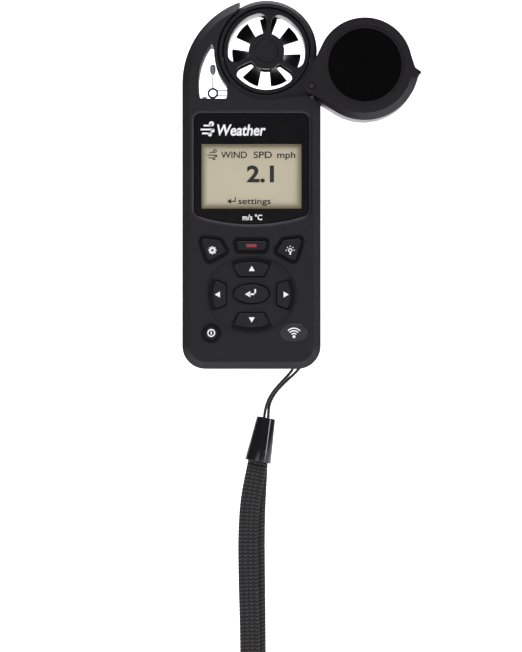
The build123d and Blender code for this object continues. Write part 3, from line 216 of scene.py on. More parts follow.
def woven_tube(name, stations, section, side_hint):
    """A closed tube mesh. section(distance) gives the ring as (aside, lift, u) at one distance."""
    vertices, faces, uvs = [], [], []
    around = len(section(0.0))
    for point, distance, direction in stations:
        lift = Vector(side_hint).cross(direction).normalized()
        aside = direction.cross(lift)
        for a, b, u in section(distance):
            vertices.append(point + aside * a + lift * b)
            uvs.append((u, distance))
    for ring in range(len(stations) - 1):
        for step in range(around):
            follow = (step + 1) % around
            low, high = ring * around, (ring + 1) * around
            faces.append((low + step, low + follow, high + follow, high + step))
    faces.append(tuple(range(around))[::-1])
    last = (len(stations) - 1) * around
    faces.append(tuple(range(last, last + around)))
    mesh = bpy.data.meshes.new(name)
    mesh.from_pydata(vertices, [], faces)
    layer = mesh.uv_layers.new(name="weave")
    for loop in mesh.loops:
        layer.data[loop.index].uv = uvs[loop.vertex_index]
    piece = bpy.data.objects.new(name, mesh)
    bpy.context.scene.collection.objects.link(piece)
    return tidy_mesh(piece)


def tidy_mesh(piece, angle=None):
    """Doubles merged, faces outward, shading smooth, all over or up to an angle."""
    deselect()
    bpy.context.view_layer.objects.active = piece
    piece.select_set(True)
    bpy.ops.object.mode_set(mode="EDIT")
    bpy.ops.mesh.select_all(action="SELECT")
    bpy.ops.mesh.remove_doubles(threshold=1e-6)
    bpy.ops.mesh.normals_make_consistent(inside=False)
    bpy.ops.object.mode_set(mode="OBJECT")
    if angle is None:
        bpy.ops.object.shade_smooth()
    else:
        bpy.ops.object.shade_smooth_by_angle(angle=math.radians(angle))
    deselect()
    return piece


def length_of(points):
    return sum((second - first).length for first, second in zip(points, points[1:]))


loop_points = route_line(LOOP_ROUTE, "loop_route")
strap_points = route_line(STRAP_ROUTE, "strap_route")
print("loop", round(length_of(loop_points) / MM, 1), "strap", round(length_of(strap_points) / MM, 1), "mm")

# %% [markdown]
# The strap's ring is a flat, round-edged shape. Across it run four columns of ribs, and in each column
# the yarn makes small Vs, one every 1.3 mm. The lift of a rib is a cosine whose phase leans down towards
# the middle of its column, and it is lowest between columns.

# %% Wrist strap
STRAP_WIDTH = 6.9 * MM
STRAP_THICKNESS = 1.3 * MM
RIB_COLUMNS = 4
RIB_PITCH = 1.3 * MM
RIB_LEAN = 0.5
RIB_LIFT = 0.26 * MM
FACE_POINTS = 26


def strap_section(distance):
    """The strap's ring: along its front from one edge to the other, and back along its rear."""
    ring = []
    for face, start in ((1, -1), (-1, 1)):
        for step in range(FACE_POINTS):
            even = start * (1 - 2 * step / FACE_POINTS)
            across = even * (1.3 - 0.3 * even * even)
            column = (across + 1) / 2 * RIB_COLUMNS
            off_middle = abs(column % 1 - 0.5) * 2
            turn = 2 * math.pi * (distance / RIB_PITCH + RIB_LEAN * off_middle)
            rib = math.cos(turn) * (1 - 0.55 * off_middle ** 3)
            round_edge = math.sqrt(max(0.0, 1 - abs(across) ** 5))
            lift = face * (STRAP_THICKNESS / 2 + RIB_LIFT * (rib - 0.6) / 1.6) * round_edge
            bulge = 1 + 0.02 * math.cos(turn) * abs(across) ** 6
            ring.append((across * STRAP_WIDTH / 2 * bulge, lift, column))
    return ring


RING_STEP = 0.27 * MM
strap = woven_tube("wrist_strap", walk(strap_points, RING_STEP), strap_section, (1, 0, 0))
print("strap faces:", len(strap.data.polygons))

# %% Lanyard loop
LOOP_DIAMETER = 1.1 * MM
BRAID_PITCH = 1.6 * MM
BRAID_YARNS = 4


def loop_section(distance):
    """A round ring with the crests of two crossing sets of yarns."""
    ring = []
    for step in range(16):
        turn = 2 * math.pi * step / 16
        along = 2 * math.pi * distance / BRAID_PITCH
        crest = max(math.cos(BRAID_YARNS * turn + along), math.cos(BRAID_YARNS * turn - along))
        radius = LOOP_DIAMETER / 2 * (0.94 + 0.06 * crest)
        ring.append((radius * math.cos(turn), radius * math.sin(turn), step / 16))
    return ring


loop_cord = woven_tube("lanyard_loop_cord", walk(loop_points, 0.14 * MM), loop_section, (0, 1, 0))
print("loop faces:", len(loop_cord.data.polygons))

# %% [markdown]
# The bell is a turned plastic sleeve, wider at its lower end, with a rounded upper rim and an open mouth
# that the strap fills. It starts as a cone of its own size; its caps are inset and pushed in to make the
# two mouths, its rims are bevelled, and then it is turned to the cord's slant.

# %% Bell
BELL_TOP = at(5.1, -17.2, 5.6)
BELL_BOTTOM = at(2.2, -32.6, 5.1)
BELL_TOP_RADIUS = 3.3 * MM
BELL_BOTTOM_RADIUS = 4.65 * MM
MOUTH_DEPTH = 1.4 * MM
RIM = 0.55 * MM


def edit(piece, mode="FACE"):
    """Into edit mode on one piece, with nothing of it selected."""
    deselect()
    bpy.context.view_layer.objects.active = piece
    piece.select_set(True)
    bpy.ops.object.mode_set(mode="EDIT")
    bpy.ops.mesh.select_mode(type=mode)
    bpy.ops.mesh.select_all(action="DESELECT")
    bpy.ops.object.mode_set(mode="OBJECT")


def choose_faces(piece, test):
    """Select the faces whose middle and normal pass a test, and go into edit mode."""
    edit(piece)
    for face in piece.data.polygons:
        face.select = test(face.center, face.normal)
    bpy.ops.object.mode_set(mode="EDIT")


def choose_edges(piece, test):
    """Select the edges whose two ends pass a test, and go into edit mode."""
    edit(piece, "EDGE")
    points = piece.data.vertices
    for line in piece.data.edges:
        first, second = (points[index].co for index in line.vertices)
        line.select = test(first, second)
    bpy.ops.object.mode_set(mode="EDIT")


def settle(piece, matrix=None):
    """Put the place of a finished piece into its mesh."""
    bpy.ops.object.mode_set(mode="OBJECT")
    piece.data.transform((matrix or Matrix.Identity(4)) @ piece.matrix_basis)
    piece.matrix_basis = Matrix.Identity(4)
    return piece


axis = BELL_BOTTOM - BELL_TOP
deselect()
bpy.ops.mesh.primitive_cone_add(
    vertices=64, radius1=BELL_BOTTOM_RADIUS, radius2=BELL_TOP_RADIUS, depth=axis.length, end_fill_type="NGON"
)
bell = bpy.context.active_object
bell.name = "lanyard_bell"
for side in (-1, 1):
    choose_faces(bell, lambda middle, normal, side=side: normal.z * side > 0.9)
    bpy.ops.mesh.inset(thickness=RIM if side < 0 else 1.6 * MM)
    bpy.ops.mesh.extrude_region_move(TRANSFORM_OT_translate={"value": (0, 0, -side * MOUTH_DEPTH)})
    bpy.ops.object.mode_set(mode="OBJECT")
half = axis.length / 2
choose_edges(bell, lambda a, b: abs(abs(a.z) - half) < 1e-5 and abs(abs(b.z) - half) < 1e-5)
bpy.ops.mesh.bevel(offset=0.28 * MM, segments=4)
bpy.ops.object.mode_set(mode="OBJECT")
slant = (-axis).to_track_quat("Z", "Y").to_matrix().to_4x4()
settle(bell, Matrix.Translation((BELL_TOP + BELL_BOTTOM) / 2) @ slant)
tidy_mesh(bell, 40)
print("bell size in mm:", [round(v / MM, 1) for v in bell.dimensions])

# %% Cords attached to the case, in place of their CAD nodes
for piece, node in ((strap, "strap"), (loop_cord, "lanyard_loop"), (bell, "bell")):
    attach(piece, "case")
    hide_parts(node)
place(LANYARD_BAR)
place(STRAP_ROUTE[0])

# %% [markdown]
# ## Tools for finishes
# Every surface here is plastic, rubber, metal or textile whose look comes from small variation: a grain
# that breaks up the highlight, patches that are a little rougher, faint rubbing. Noise on Object
# coordinates gives that in real millimetres, whatever the mesh is like. Shader maths reads best as plain
# arithmetic, so one small class wraps a socket and turns + - * / into Math nodes, and one method adds
# any other node.

# %% Shader tools
class Signal:
    """A value inside a shader. Arithmetic on it adds Math nodes."""

    def __init__(self, finish, socket):
        self.finish = finish
        self.socket = socket

    def math(self, operation, first, second=0.0):
        return self.finish.node("ShaderNodeMath", {"operation": operation}, first, second)

    def __add__(self, other):
        return self.math("ADD", self, other)

    __radd__ = __add__

    def __sub__(self, other):
        return self.math("SUBTRACT", self, other)

    def __rsub__(self, other):
        return self.math("SUBTRACT", other, self)

    def __mul__(self, other):
        return self.math("MULTIPLY", self, other)

    __rmul__ = __mul__

    def __truediv__(self, other):
        return self.math("DIVIDE", self, other)

    def __lt__(self, other):
        return self.math("LESS_THAN", self, other)

    def __gt__(self, other):
        return self.math("GREATER_THAN", self, other)

    def __abs__(self):
        return self.math("ABSOLUTE", self)

    def ramp(self, low, high, to_low=0.0, to_high=1.0):
        """The value spread smoothly from one range to another, and held at its ends."""
        settings = {"interpolation_type": "SMOOTHSTEP"}
        return self.finish.node("ShaderNodeMapRange", settings, self, low, high, to_low, to_high)


class Finish:
    """A material with one Principled shader."""

    def __init__(self, name, **constants):
        self.material = bpy.data.materials.new(name)
        self.material.use_nodes = True
        self.nodes = self.material.node_tree.nodes
        self.links = self.material.node_tree.links
        self.shader = self.nodes["Principled BSDF"]
        for socket, value in constants.items():
            self.shader.inputs[socket.replace("_", " ")].default_value = value
        place = self.nodes.new("ShaderNodeTexCoord")
        self.place = Signal(self, place.outputs["Object"])
        self.uv = Signal(self, place.outputs["UV"])

    def node(self, kind, settings, *values, output=0, **named):
        """Add a node: its settings first, then its sockets by order or by name."""
        node = self.nodes.new(kind)
        for key, value in settings.items():
            setattr(node, key, value)
        sockets = list(enumerate(values)) + [(key.replace("_", " "), value) for key, value in named.items()]
        for key, value in sockets:
            if isinstance(value, Signal):
                self.links.new(value.socket, node.inputs[key])
            else:
                node.inputs[key].default_value = value
        return Signal(self, node.outputs[output])

    def noise(self, size, detail=2.0, stretch=(1, 1, 1)):
        """Soft noise between 0 and 1, with features of a size in metres."""
        place = self.place
        if stretch != (1, 1, 1):
            place = self.node("ShaderNodeMapping", {}, Vector=self.place, Scale=stretch)
        return self.node("ShaderNodeTexNoise", {}, Vector=place, Scale=1 / size, Detail=detail)

    def axes(self):
        """The object's own x, y and z, in metres."""
        split = self.nodes.new("ShaderNodeSeparateXYZ")
        self.links.new(self.place.socket, split.inputs[0])
        return [Signal(self, split.outputs[axis]) for axis in range(3)]

    def blend(self, amount, first, second):
        """A colour between two colours."""
        node = self.nodes.new("ShaderNodeMix")
        node.data_type = "RGBA"
        for index, value in ((0, amount), (6, first), (7, second)):
            if isinstance(value, Signal):
                self.links.new(value.socket, node.inputs[index])
            else:
                node.inputs[index].default_value = value
        return Signal(self, node.outputs[2])

    def feed(self, socket, signal):
        self.links.new(signal.socket, self.shader.inputs[socket])

    def bump(self, height, strength, distance):
        normal = self.node("ShaderNodeBump", {}, Strength=strength, Distance=distance, Height=height)
        self.feed("Normal", normal)


def grey(value, warmth=0.0):
    """A nearly neutral dark colour with a breath of purple, and of red or, below zero, of blue."""
    return (value * (1.08 + warmth), value, value * (1.24 - warmth * 0.4), 1)


print("shader tools ready")

# %% [markdown]
# ## Moulded plastic
# The case is spark-textured plastic: a grain about a third of a millimetre across, softly rubbed in
# places. Bump from two noises makes it, one for the grain and one for the slow waviness of a moulding.
# The colour and the roughness drift a little too, and long thin scuffs catch the light.

# %% Moulded plastics
def moulded(name, colour, roughness, grain=0.35 * MM, depth=0.02 * MM, strength=0.5, marks=None, **constants):
    """Textured plastic. marks may give a mask, a colour and a roughness for an area whose colour holds
    painted light and shade.
    """
    finish = Finish(name, **constants)
    fine = finish.noise(grain, detail=3.0)
    slow = finish.noise(14 * MM, detail=2.0)
    scuff = finish.noise(1.2 * MM, detail=4.0, stretch=(1, 1, 0.12)).ramp(0.66, 0.74)
    darker = tuple(channel * 0.82 for channel in colour[:3]) + (1,)
    lighter = tuple(min(1.0, channel * 1.16 + 0.002) for channel in colour[:3]) + (1,)
    body = finish.blend(fine * 0.6 + slow * 0.4, darker, lighter)
    worn = tuple(min(1.0, channel * 1.5 + 0.006) for channel in colour[:3]) + (1,)
    body = finish.blend(scuff * 0.35, body, worn)
    rough = fine * 0.12 + slow * 0.1 + (roughness - 0.11)
    if marks is not None:
        mask, other_colour, other_roughness = marks(finish)
        body = finish.blend(mask, body, other_colour)
        rough = rough + mask * (other_roughness - roughness)
    finish.feed("Base Color", body)
    finish.feed("Roughness", rough - scuff * 0.08)
    finish.bump(fine + slow * 0.3, strength, depth)
    return finish.material


# heights above the bottom end, half widths, and depths behind the middle, all in millimetres
LEDGE_HEIGHTS = (47.6, 90.6)
LEDGE_HALF_WIDTH = 21.2
LEDGE_DEPTHS = (-12.6, -12.2)
WELL_HEIGHTS = (6.0, 45.6)
WELL_HALF_WIDTH = 18.0
WELL_DEPTHS = (-12.4, -9.5)


def ledge_highlight_and_well_shade(finish):
    """The smooth ledge round the display, painted paler as a highlight, and the key wells, painted black as
    shade.
    """
    across, behind, height = finish.axes()

    def inside(half_width, heights, depths):
        low, high = (value * MM - GRIP_HEIGHT for value in heights)
        near, far = (value * MM for value in depths)
        column = (abs(across) < half_width * MM) * (height > low) * (height < high)
        return column * ((behind > near) * (behind < far))

    # painted highlight on the ledge and painted shade in the key wells, each a box in object coordinates
    painted_ledge_highlight = inside(LEDGE_HALF_WIDTH, LEDGE_HEIGHTS, LEDGE_DEPTHS)
    painted_well_shade = inside(WELL_HALF_WIDTH, WELL_HEIGHTS, WELL_DEPTHS)
    # paler grey is the ledge's painted highlight, near black is the wells' painted shade
    colour = finish.blend(painted_well_shade, grey(0.03, 0.0), (0.0016, 0.0013, 0.0016, 1))
    return painted_ledge_highlight.math("MAXIMUM", painted_ledge_highlight, painted_well_shade), colour, 0.34


case_plastic = moulded(
    "case_plastic", grey(0.0085, 0.0), 0.5, marks=ledge_highlight_and_well_shade, Specular_IOR_Level=0.2
)
door_plastic = moulded("door_plastic", grey(0.0085, 0.0), 0.5, Specular_IOR_Level=0.2)
cover_plastic = moulded(
    "cover_plastic", grey(0.0065, 0.1), 0.42, grain=0.3 * MM, depth=0.016 * MM, Specular_IOR_Level=0.22
)
disc_plastic = moulded(
    "disc_plastic", grey(0.0006, 0.1), 0.5, grain=0.8 * MM, depth=0.004 * MM, strength=0.3,
    Specular_IOR_Level=0.02,
)
housing_plastic = moulded(
    "housing_plastic", grey(0.0055, 0.05), 0.36, grain=0.25 * MM, depth=0.008 * MM, Specular_IOR_Level=0.3
)
impeller_plastic = moulded("impeller_plastic", grey(0.0085, 0.0), 0.38, grain=0.2 * MM, depth=0.01 * MM)
inner_plastic = moulded("inner_plastic", grey(0.05, 0.0), 0.5)
key_rubber = moulded(
    "key_rubber", grey(0.0075, 0.0), 0.5, grain=0.22 * MM, depth=0.012 * MM, Specular_IOR_Level=0.2
)
dark_rubber = moulded("dark_rubber", grey(0.008, 0.0), 0.7, grain=0.3 * MM)
bell_plastic = moulded(
    "bell_plastic", grey(0.006, -0.05), 0.13, grain=4 * MM, depth=0.002 * MM, strength=0.05
)
badge_plastic = moulded("badge_plastic", grey(0.011, 0.0), 0.25, grain=1 * MM, depth=0.004 * MM, strength=0.2)
filter_white = moulded("filter_white", (0.62, 0.62, 0.6, 1), 0.6, grain=0.15 * MM)
print("moulded plastics:", len(bpy.data.materials))

# %% [markdown]
# ## Display
# The lens is one clear plate whose back is printed black except for the window. A clear plate in front of
# a lit panel is slow and noisy to render as real glass, so the plate is a glossy black plastic whose
# alpha falls nearly to nothing inside the window, which looks the same from the front. The liquid
# crystal behind it is a grey-green reflector with painted shade that darkens it towards its frame, and
# a faint painted glow.

# %% Display finishes
WINDOW_HALF = 17.35
WINDOW_LOW = 55.5
WINDOW_HIGH = 77.9


def inset_from_window(finish):
    """How far a point is inside the display window, in metres; below zero outside."""
    across, behind, height = finish.axes()
    side = (abs(across) * -1.0) + WINDOW_HALF * MM
    under = height - (WINDOW_LOW * MM - GRIP_HEIGHT)
    over = (height * -1.0) + (WINDOW_HIGH * MM - GRIP_HEIGHT)
    return side.math("MINIMUM", side.math("MINIMUM", side, under), over)


lens = Finish("lens_print", Specular_IOR_Level=0.5)
lens.feed("Alpha", inset_from_window(lens).ramp(-0.05 * MM, 0.05 * MM, 1.0, 0.05))
lens.feed("Base Color", lens.blend(lens.noise(9 * MM), grey(0.0022, 0.04), grey(0.0032, 0.04)))
lens.feed("Roughness", lens.noise(5 * MM, detail=5.0) * 0.08 + 0.1)

crystal = Finish("liquid_crystal", Specular_IOR_Level=0.3)
# painted shade: the crystal is darker towards the window's frame, where the frame shades it
shade = inset_from_window(crystal).ramp(-0.2 * MM, 2.6 * MM)
speckle = crystal.noise(0.22 * MM, detail=2.0)
middle = crystal.blend(speckle, (0.43, 0.385, 0.285, 1), (0.49, 0.44, 0.33, 1))
crystal.feed("Base Color", crystal.blend(shade, (0.20, 0.175, 0.105, 1), middle))
crystal.feed("Roughness", speckle * 0.1 + 0.5)
# painted glow: the crystal gives out a faint light of its own, weaker near the frame
glow = crystal.blend(shade, (0.2, 0.17, 0.1, 1), (0.45, 0.405, 0.305, 1))
crystal.feed("Emission Color", glow)
crystal.shader.inputs["Emission Strength"].default_value = 0.22

diffuser = moulded("diffuser", (0.8, 0.8, 0.76, 1), 0.4)
lcd_ink = moulded("lcd_ink", (0.011, 0.009, 0.011, 1), 0.5, grain=0.3 * MM)
white_print = moulded("white_print", (0.78, 0.78, 0.8, 1), 0.45, grain=0.2 * MM, depth=0.004 * MM)
red_plastic = moulded("red_plastic", (0.23, 0.03, 0.05, 1), 0.35, grain=0.4 * MM)
print("display finishes done")

# %% [markdown]
# ## Metal, board and wires
# Small turned steel parts are brushed: noise stretched along one axis gives the fine lines. The circuit
# board, the cell and the sensor's wires are hidden or tiny, but they get the same care at their scale.

# %% Metals and inner parts
def brushed(name, colour, roughness):
    finish = Finish(name, Metallic=1.0)
    lines = finish.noise(0.25 * MM, detail=4.0, stretch=(1, 0.08, 1))
    dull = tuple(channel * 0.8 for channel in colour[:3]) + (1,)
    finish.feed("Base Color", finish.blend(lines, dull, colour))
    finish.feed("Roughness", lines * 0.15 + (roughness - 0.07))
    finish.bump(lines, 0.3, 0.006 * MM)
    return finish.material


def circuit(name):
    """Green lacquer over copper tracks."""
    finish = Finish(name)
    tracks = finish.node("ShaderNodeTexBrick", {}, Vector=finish.place, Scale=420.0, output=1)
    finish.feed("Base Color", finish.blend(tracks, (0.01, 0.09, 0.035, 1), (0.03, 0.16, 0.06, 1)))
    finish.feed("Roughness", finish.noise(2 * MM) * 0.15 + 0.25)
    return finish.material


def wrapped_cell(name):
    """A cell in a printed foil sleeve: a dark body with a lighter band at its top."""
    finish = Finish(name)
    across, behind, height = finish.axes()
    band = height > (54 * MM - GRIP_HEIGHT)
    finish.feed("Base Color", finish.blend(band, (0.03, 0.03, 0.035, 1), (0.55, 0.42, 0.2, 1)))
    finish.feed("Roughness", finish.noise(4 * MM, detail=3.0) * 0.1 + 0.25)
    return finish.material


steel = brushed("steel", (0.62, 0.61, 0.6, 1), 0.3)
dark_steel = brushed("dark_steel", (0.1, 0.1, 0.105, 1), 0.32)
board_green = circuit("board_green")
cell_sleeve = wrapped_cell("cell_sleeve")
jewel = moulded("jewel", (0.5, 0.06, 0.12, 1), 0.15, grain=1 * MM)
blue_lacquer = moulded("blue_lacquer", (0.05, 0.13, 0.18, 1), 0.3, grain=0.6 * MM, depth=0.01 * MM)
bead_resin = moulded("bead_resin", (0.8, 0.81, 0.82, 1), 0.25, grain=0.9 * MM, depth=0.02 * MM)
print("metals and inner parts done")

# %% Finishes for the CAD nodes
NODE_FINISHES = {
    case_plastic: ["front_case", "rear_case"],
    door_plastic: ["battery_door"],
    cover_plastic: ["cover_shell"],
    disc_plastic: ["cover_front_disc", "cover_rear_disc"],
    key_rubber: ["key_settings", "key_light", "key_record", "key_up", "key_down", "key_left", "key_right",
                 "key_enter", "key_power"],
    dark_rubber: ["keypad_mat", "case_seal", "door_seal", "lcd_connector", "sensor_grommet"],
    red_plastic: ["record_bar"],
    badge_plastic: ["badge"],
    lens.material: ["display_lens"],
    crystal.material: ["lcd_glass"],
    diffuser: ["backlight"],
    inner_plastic: ["lcd_carrier", "battery_tray", "processor", "radio_module", "rotation_sensor"],
    board_green: ["main_board"],
    cell_sleeve: ["battery"],
    steel: ["key_domes", "case_screws", "door_screw", "battery_contact", "battery_spring", "impeller_axle",
            "lanyard_bar", "pressure_sensor"],
    dark_steel: ["cover_pivot_pin"],
    housing_plastic: ["impeller_housing", "rear_spokes", "hub_caps"],
    impeller_plastic: ["impeller"],
    jewel: ["jewel_bearings"],
    filter_white: ["humidity_sensor"],
    bead_resin: ["temperature_bead"],
    blue_lacquer: ["sensor_lead"],
}


def finish_node(node, material):
    """Put a finish on a CAD node, in place of its plain one."""
    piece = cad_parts[node]
    piece.data.materials.clear()
    piece.data.materials.append(material)


for material, nodes in NODE_FINISHES.items():
    for node in nodes:
        finish_node(node, material)
print("finished nodes:", sum(len(nodes) for nodes in NODE_FINISHES.values()))


# %% Webbing, cord and stage finishes
def webbing(name):
    """Shiny yarn: painted shade between the ribs, a painted highlight on their crests, and fine strands along
    the yarn.
    """
    finish = Finish(name, Specular_IOR_Level=0.28, Sheen_Weight=0.04, Sheen_Roughness=0.4)
    split = finish.nodes.new("ShaderNodeSeparateXYZ")
    finish.links.new(finish.uv.socket, split.inputs[0])
    column, along = Signal(finish, split.outputs[0]), Signal(finish, split.outputs[1])
    fraction = column.math("FRACT", column)
    off_middle = abs(fraction - 0.5) * 2
    turn = (along / RIB_PITCH + off_middle * RIB_LEAN) * (2 * math.pi)
    crest = turn.math("COSINE", turn) * 0.5 + 0.5
    rib_crest_and_painted_light = (crest * (1.0 - off_middle.math("POWER", off_middle, 3.0) * 0.6)).ramp(0.35, 0.95)
    strand = finish.noise(0.12 * MM, detail=3.0, stretch=(1, 1, 0.35))
    yarn = finish.blend(strand, (0.012, 0.010, 0.012, 1), (0.055, 0.05, 0.056, 1))
    # painted shade: near black between the ribs; painted highlight: the paler yarn on the crests
    finish.feed("Base Color", finish.blend(rib_crest_and_painted_light, (0.0015, 0.0013, 0.0016, 1), yarn))
    finish.feed("Roughness", strand * 0.2 + 0.36 - rib_crest_and_painted_light * 0.06)
    finish.bump(strand * 0.5 + rib_crest_and_painted_light * 0.5, 0.6, 0.05 * MM)
    return finish.material


def braided(name):
    finish = Finish(name, Specular_IOR_Level=0.3, Sheen_Weight=0.05)
    strand = finish.noise(0.14 * MM, detail=3.0)
    finish.feed("Base Color", finish.blend(strand, (0.004, 0.0035, 0.004, 1), (0.035, 0.032, 0.035, 1)))
    finish.feed("Roughness", strand * 0.2 + 0.35)
    finish.bump(strand, 0.5, 0.03 * MM)
    return finish.material


def backdrop(name):
    finish = Finish(name)
    finish.feed("Base Color", finish.blend(finish.noise(0.5), (0.86, 0.86, 0.87, 1), (0.9, 0.9, 0.905, 1)))
    finish.feed("Roughness", finish.noise(0.1) * 0.1 + 0.6)
    return finish.material


def paint(piece, material):
    piece.data.materials.clear()
    piece.data.materials.append(material)


paint(strap, webbing("strap_webbing"))
paint(loop_cord, braided("loop_braid"))
paint(bell, bell_plastic)
pale = backdrop("pale_backdrop")
for plane in (floor, wall):
    plane.data.materials.append(pale)
print("strap, cord, bell and backdrop painted")

# %% [markdown]
# ## Printed marks
# The white signs on the keys and the lens are silk-screened ink a few hundredths of a millimetre thick.
# Painting them into a material would need pictures, so each is a thin solid: a primitive or a line of
# text that lies on its surface. Each sign rides on the body of its key, so that it sinks with the key.

# %% Mark tools
INK = 0.03 * MM
UPRIGHT = Matrix.Rotation(math.radians(90), 4, "X")


def flat_shape(name, corners, radius, x, height, y, turn=0.0, stretch=(1, 1)):
    """A thin filled polygon facing the front: a triangle, a bar's rectangle or a round dot."""
    deselect()
    bpy.ops.mesh.primitive_circle_add(vertices=corners, radius=radius * MM, fill_type="NGON")
    piece = bpy.context.active_object
    piece.name = name
    shape = Matrix.Diagonal((stretch[0], stretch[1], 1, 1)) @ Matrix.Rotation(math.radians(turn), 4, "Z")
    return thicken(piece, shape, x, height, y)


def thicken(piece, shape, x, height, y):
    """Give a flat shape the thickness of ink, and stand it on its surface."""
    choose_faces(piece, lambda middle, normal: True)
    bpy.ops.mesh.extrude_region_move(TRANSFORM_OT_translate={"value": (0, 0, INK)})
    settle(piece, Matrix.Translation(at(x, height, y)) @ UPRIGHT @ shape)
    return tidy_mesh(piece, 30)


def flat_ring(name, outer, inner, x, height, y, arc=None):
    """A thin ring, or the part of it between two angles."""
    deselect()
    bpy.ops.mesh.primitive_circle_add(vertices=48, radius=outer * MM, fill_type="NGON")
    piece = bpy.context.active_object
    piece.name = name
    choose_faces(piece, lambda middle, normal: True)
    bpy.ops.mesh.inset(thickness=(outer - inner) * MM)
    bpy.ops.mesh.delete(type="FACE")
    bpy.ops.object.mode_set(mode="OBJECT")
    if arc:
        low, high = arc
        def outside(middle, normal):
            return not low < math.degrees(math.atan2(middle.y, middle.x)) < high

        choose_faces(piece, outside)
        bpy.ops.mesh.delete(type="FACE")
        bpy.ops.object.mode_set(mode="OBJECT")
    return thicken(piece, Matrix.Identity(4), x, height, y)


def lettering(name, words, tall, x, height, y, bold=0.0, wide=1.0, lean=0.0):
    """A line of text as thin ink, its left end and foot at a place. tall is a capital's height.

    Letters a few millimetres high are too small for the curve filler, which works in whole units, so the
    text is built a thousand times as large and then scaled down.
    """
    deselect()
    bpy.ops.object.text_add()
    text = bpy.context.active_object
    text.name = name
    text.data.body = words
    text.data.size = tall / 0.73
    text.data.offset = bold
    text.data.shear = lean
    text.data.resolution_u = 4
    bpy.ops.object.convert(target="MESH")
    piece = bpy.context.active_object
    left = min(vertex.co.x for vertex in piece.data.vertices)
    piece.data.transform(Matrix.Diagonal((MM, MM, MM, 1)) @ Matrix.Translation((-left, 0, 0)))
    return thicken(piece, Matrix.Diagonal((wide, 1, 1, 1)), x, height, y)


def join(name, parts):
    """Several thin solids made one piece."""
    deselect()
    for part in parts:
        part.select_set(True)
    bpy.context.view_layer.objects.active = parts[0]
    bpy.ops.object.join()
    piece = bpy.context.active_object
    piece.name = name
    deselect()
    return piece


def print_on(piece, material, body):
    paint(piece, material)
    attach(piece, body)


KEY_TOP = -13.3
print("mark tools ready")

# %% Arrow signs
ARROWS = {
    "up": (0.1, 34.5, 0),
    "down": (0.1, 17.3, 180),
    "left": (-11.5, 25.8, 90),
    "right": (11.7, 25.8, -90),
}
for name, (x, height, turn) in ARROWS.items():
    sign = flat_shape("sign_" + name, 3, 1.2, x, height, KEY_TOP, turn)
    print_on(sign, white_print, "key_" + name)
print("arrow signs:", len(ARROWS))


# %% Enter sign
def enter_sign(name, x, height, y, size, line):
    """A bent arrow: a head, a long stem and a short upright."""
    head = flat_shape(name + "_head", 3, size * 0.36, x - size * 0.3, height, y, 90)
    stem = flat_shape(name + "_stem", 4, 0.7071, x + size * 0.1, height, y, 45, (size * 0.72, line))
    corner = x + size * 0.46 - line / 2
    upright = (line, size * 0.44 + line)
    rise = flat_shape(name + "_rise", 4, 0.7071, corner, height + size * 0.22, y, 45, upright)
    return join(name, [head, stem, rise])


sign = enter_sign("sign_enter", 0.0, 25.9, KEY_TOP, 3.4, 0.55)
print_on(sign, white_print, "key_enter")

# %% Settings sign
GEAR_TEETH = 8
deselect()
bpy.ops.mesh.primitive_circle_add(vertices=GEAR_TEETH * 4, radius=1.0 * MM, fill_type="NGON")
gear = bpy.context.active_object
choose_faces(gear, lambda middle, normal: True)
bpy.ops.mesh.inset(thickness=0.55 * MM)
bpy.ops.mesh.delete(type="FACE")
bpy.ops.object.mode_set(mode="OBJECT")
gear_ring = thicken(gear, Matrix.Identity(4), -13.5, 41.1, KEY_TOP)
teeth = [gear_ring]
for tooth in range(GEAR_TEETH):
    angle = 2 * math.pi * tooth / GEAR_TEETH
    x, height = -13.5 + 1.12 * math.cos(angle), 41.1 + 1.12 * math.sin(angle)
    teeth.append(flat_shape(f"tooth_{tooth}", 12, 0.31, x, height, KEY_TOP))
print_on(join("sign_settings", teeth), white_print, "key_settings")

# %% Light sign
bulb = [flat_ring("bulb_glass", 0.72, 0.4, 13.4, 41.1, KEY_TOP)]
bulb.append(flat_shape("bulb_foot", 4, 0.7071, 13.4, 40.0, KEY_TOP, 45, (0.55, 0.9)))
for ray in range(5):
    angle = math.radians(45 * ray)
    x, height = 13.4 + 1.35 * math.cos(angle), 41.1 + 1.35 * math.sin(angle)
    bulb.append(flat_shape(f"ray_{ray}", 4, 0.7071, x, height, KEY_TOP, 45, (0.36, 0.36)))
print_on(join("sign_light", bulb), white_print, "key_light")

# %% Power sign
power = [flat_ring("power_ring", 1.38, 0.95, -13.9, 12.5, KEY_TOP)]
power.append(flat_shape("power_line", 4, 0.7071, -13.9, 12.5, KEY_TOP, 45, (0.4, 1.15)))
print_on(join("sign_power", power), white_print, "key_power")
print("key signs done")

# %% Badge sign
BADGE_FACE = -13.15
waves = [flat_shape("wave_dot", 20, 0.5, 14.7, 11.2, BADGE_FACE)]
for radius in (1.35, 2.25, 3.15):
    waves.append(flat_ring(f"wave_{radius}", radius, radius - 0.42, 14.7, 11.2, BADGE_FACE, arc=(48, 132)))
print_on(join("badge_waves", waves), white_print, "case")

# %% Lens print
LENS_FACE = -12.55


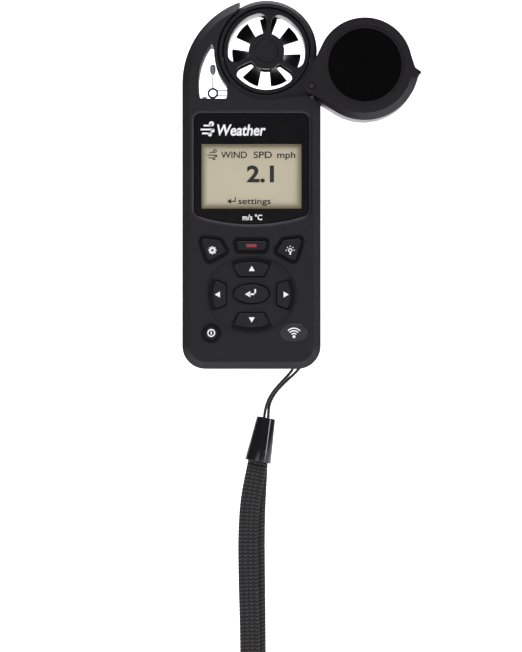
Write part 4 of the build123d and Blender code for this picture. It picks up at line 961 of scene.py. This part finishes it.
def wind_sign(name, x, height, y, size, line):
    """Three lines of wind, two of them curled at the end."""
    parts = []
    for row, (start, reach) in enumerate(((0.2, 0.72), (0.0, 0.8), (0.1, 0.62))):
        level = height + size * 0.26 * (1 - row)
        stem = (x + size * (start + reach) / 2, level)
        parts.append(flat_shape(f"{name}_{row}", 4, 0.7071, *stem, y, 45, (size * (reach - start), line)))
        radius = size * (0.17 if row == 0 else 0.13)
        if row == 0:
            middle = level + radius - line / 2
        else:
            middle = level - radius + line / 2
        parts.append(flat_ring(f"{name}_curl_{row}", radius, radius - line, x + size * reach, middle, y))
    return join(name, parts)


emblem = wind_sign("lens_emblem", -17.6, 82.9, LENS_FACE, 5.2, 0.6)
print_on(emblem, white_print, "case")
word = lettering("lens_word", "Weather", 3.9, -11.9, 80.9, LENS_FACE, bold=0.12, wide=0.86, lean=0.18)
print_on(word, white_print, "case")
units = lettering("lens_units", "m/s °C", 1.9, -3.1, 51.6, LENS_FACE, bold=0.06, wide=0.95)
print_on(units, white_print, "case")
print("lens print done")

# %% [markdown]
# ## Reading on the display
# Liquid crystal turns dark where a segment is driven. The characters are thin dark solids just in front
# of the grey-green reflector, behind the lens.

# %% Display reading
CRYSTAL_FACE = -11.1
reading = [
    wind_sign("reading_wind", -15.3, 74.1, CRYSTAL_FACE, 3.7, 0.34),
    lettering("reading_name", "WIND", 2.35, -10.6, 73.1, CRYSTAL_FACE, bold=0.05, wide=1.0),
    lettering("reading_kind", "SPD", 2.35, 0.7, 73.1, CRYSTAL_FACE, bold=0.05, wide=1.2),
    lettering("reading_unit", "mph", 2.35, 8.9, 73.1, CRYSTAL_FACE, bold=0.05, wide=1.16),
    lettering("reading_value", "2.1", 5.7, -1.6, 64.9, CRYSTAL_FACE, bold=0.24, wide=1.15),
    enter_sign("reading_enter", -6.7, 58.1, CRYSTAL_FACE, 2.8, 0.38),
    lettering("reading_menu", "settings", 2.1, -4.6, 57.2, CRYSTAL_FACE, bold=0.05, wide=1.3),
]
print_on(join("display_reading", reading), lcd_ink, "case")
print("display reading done")
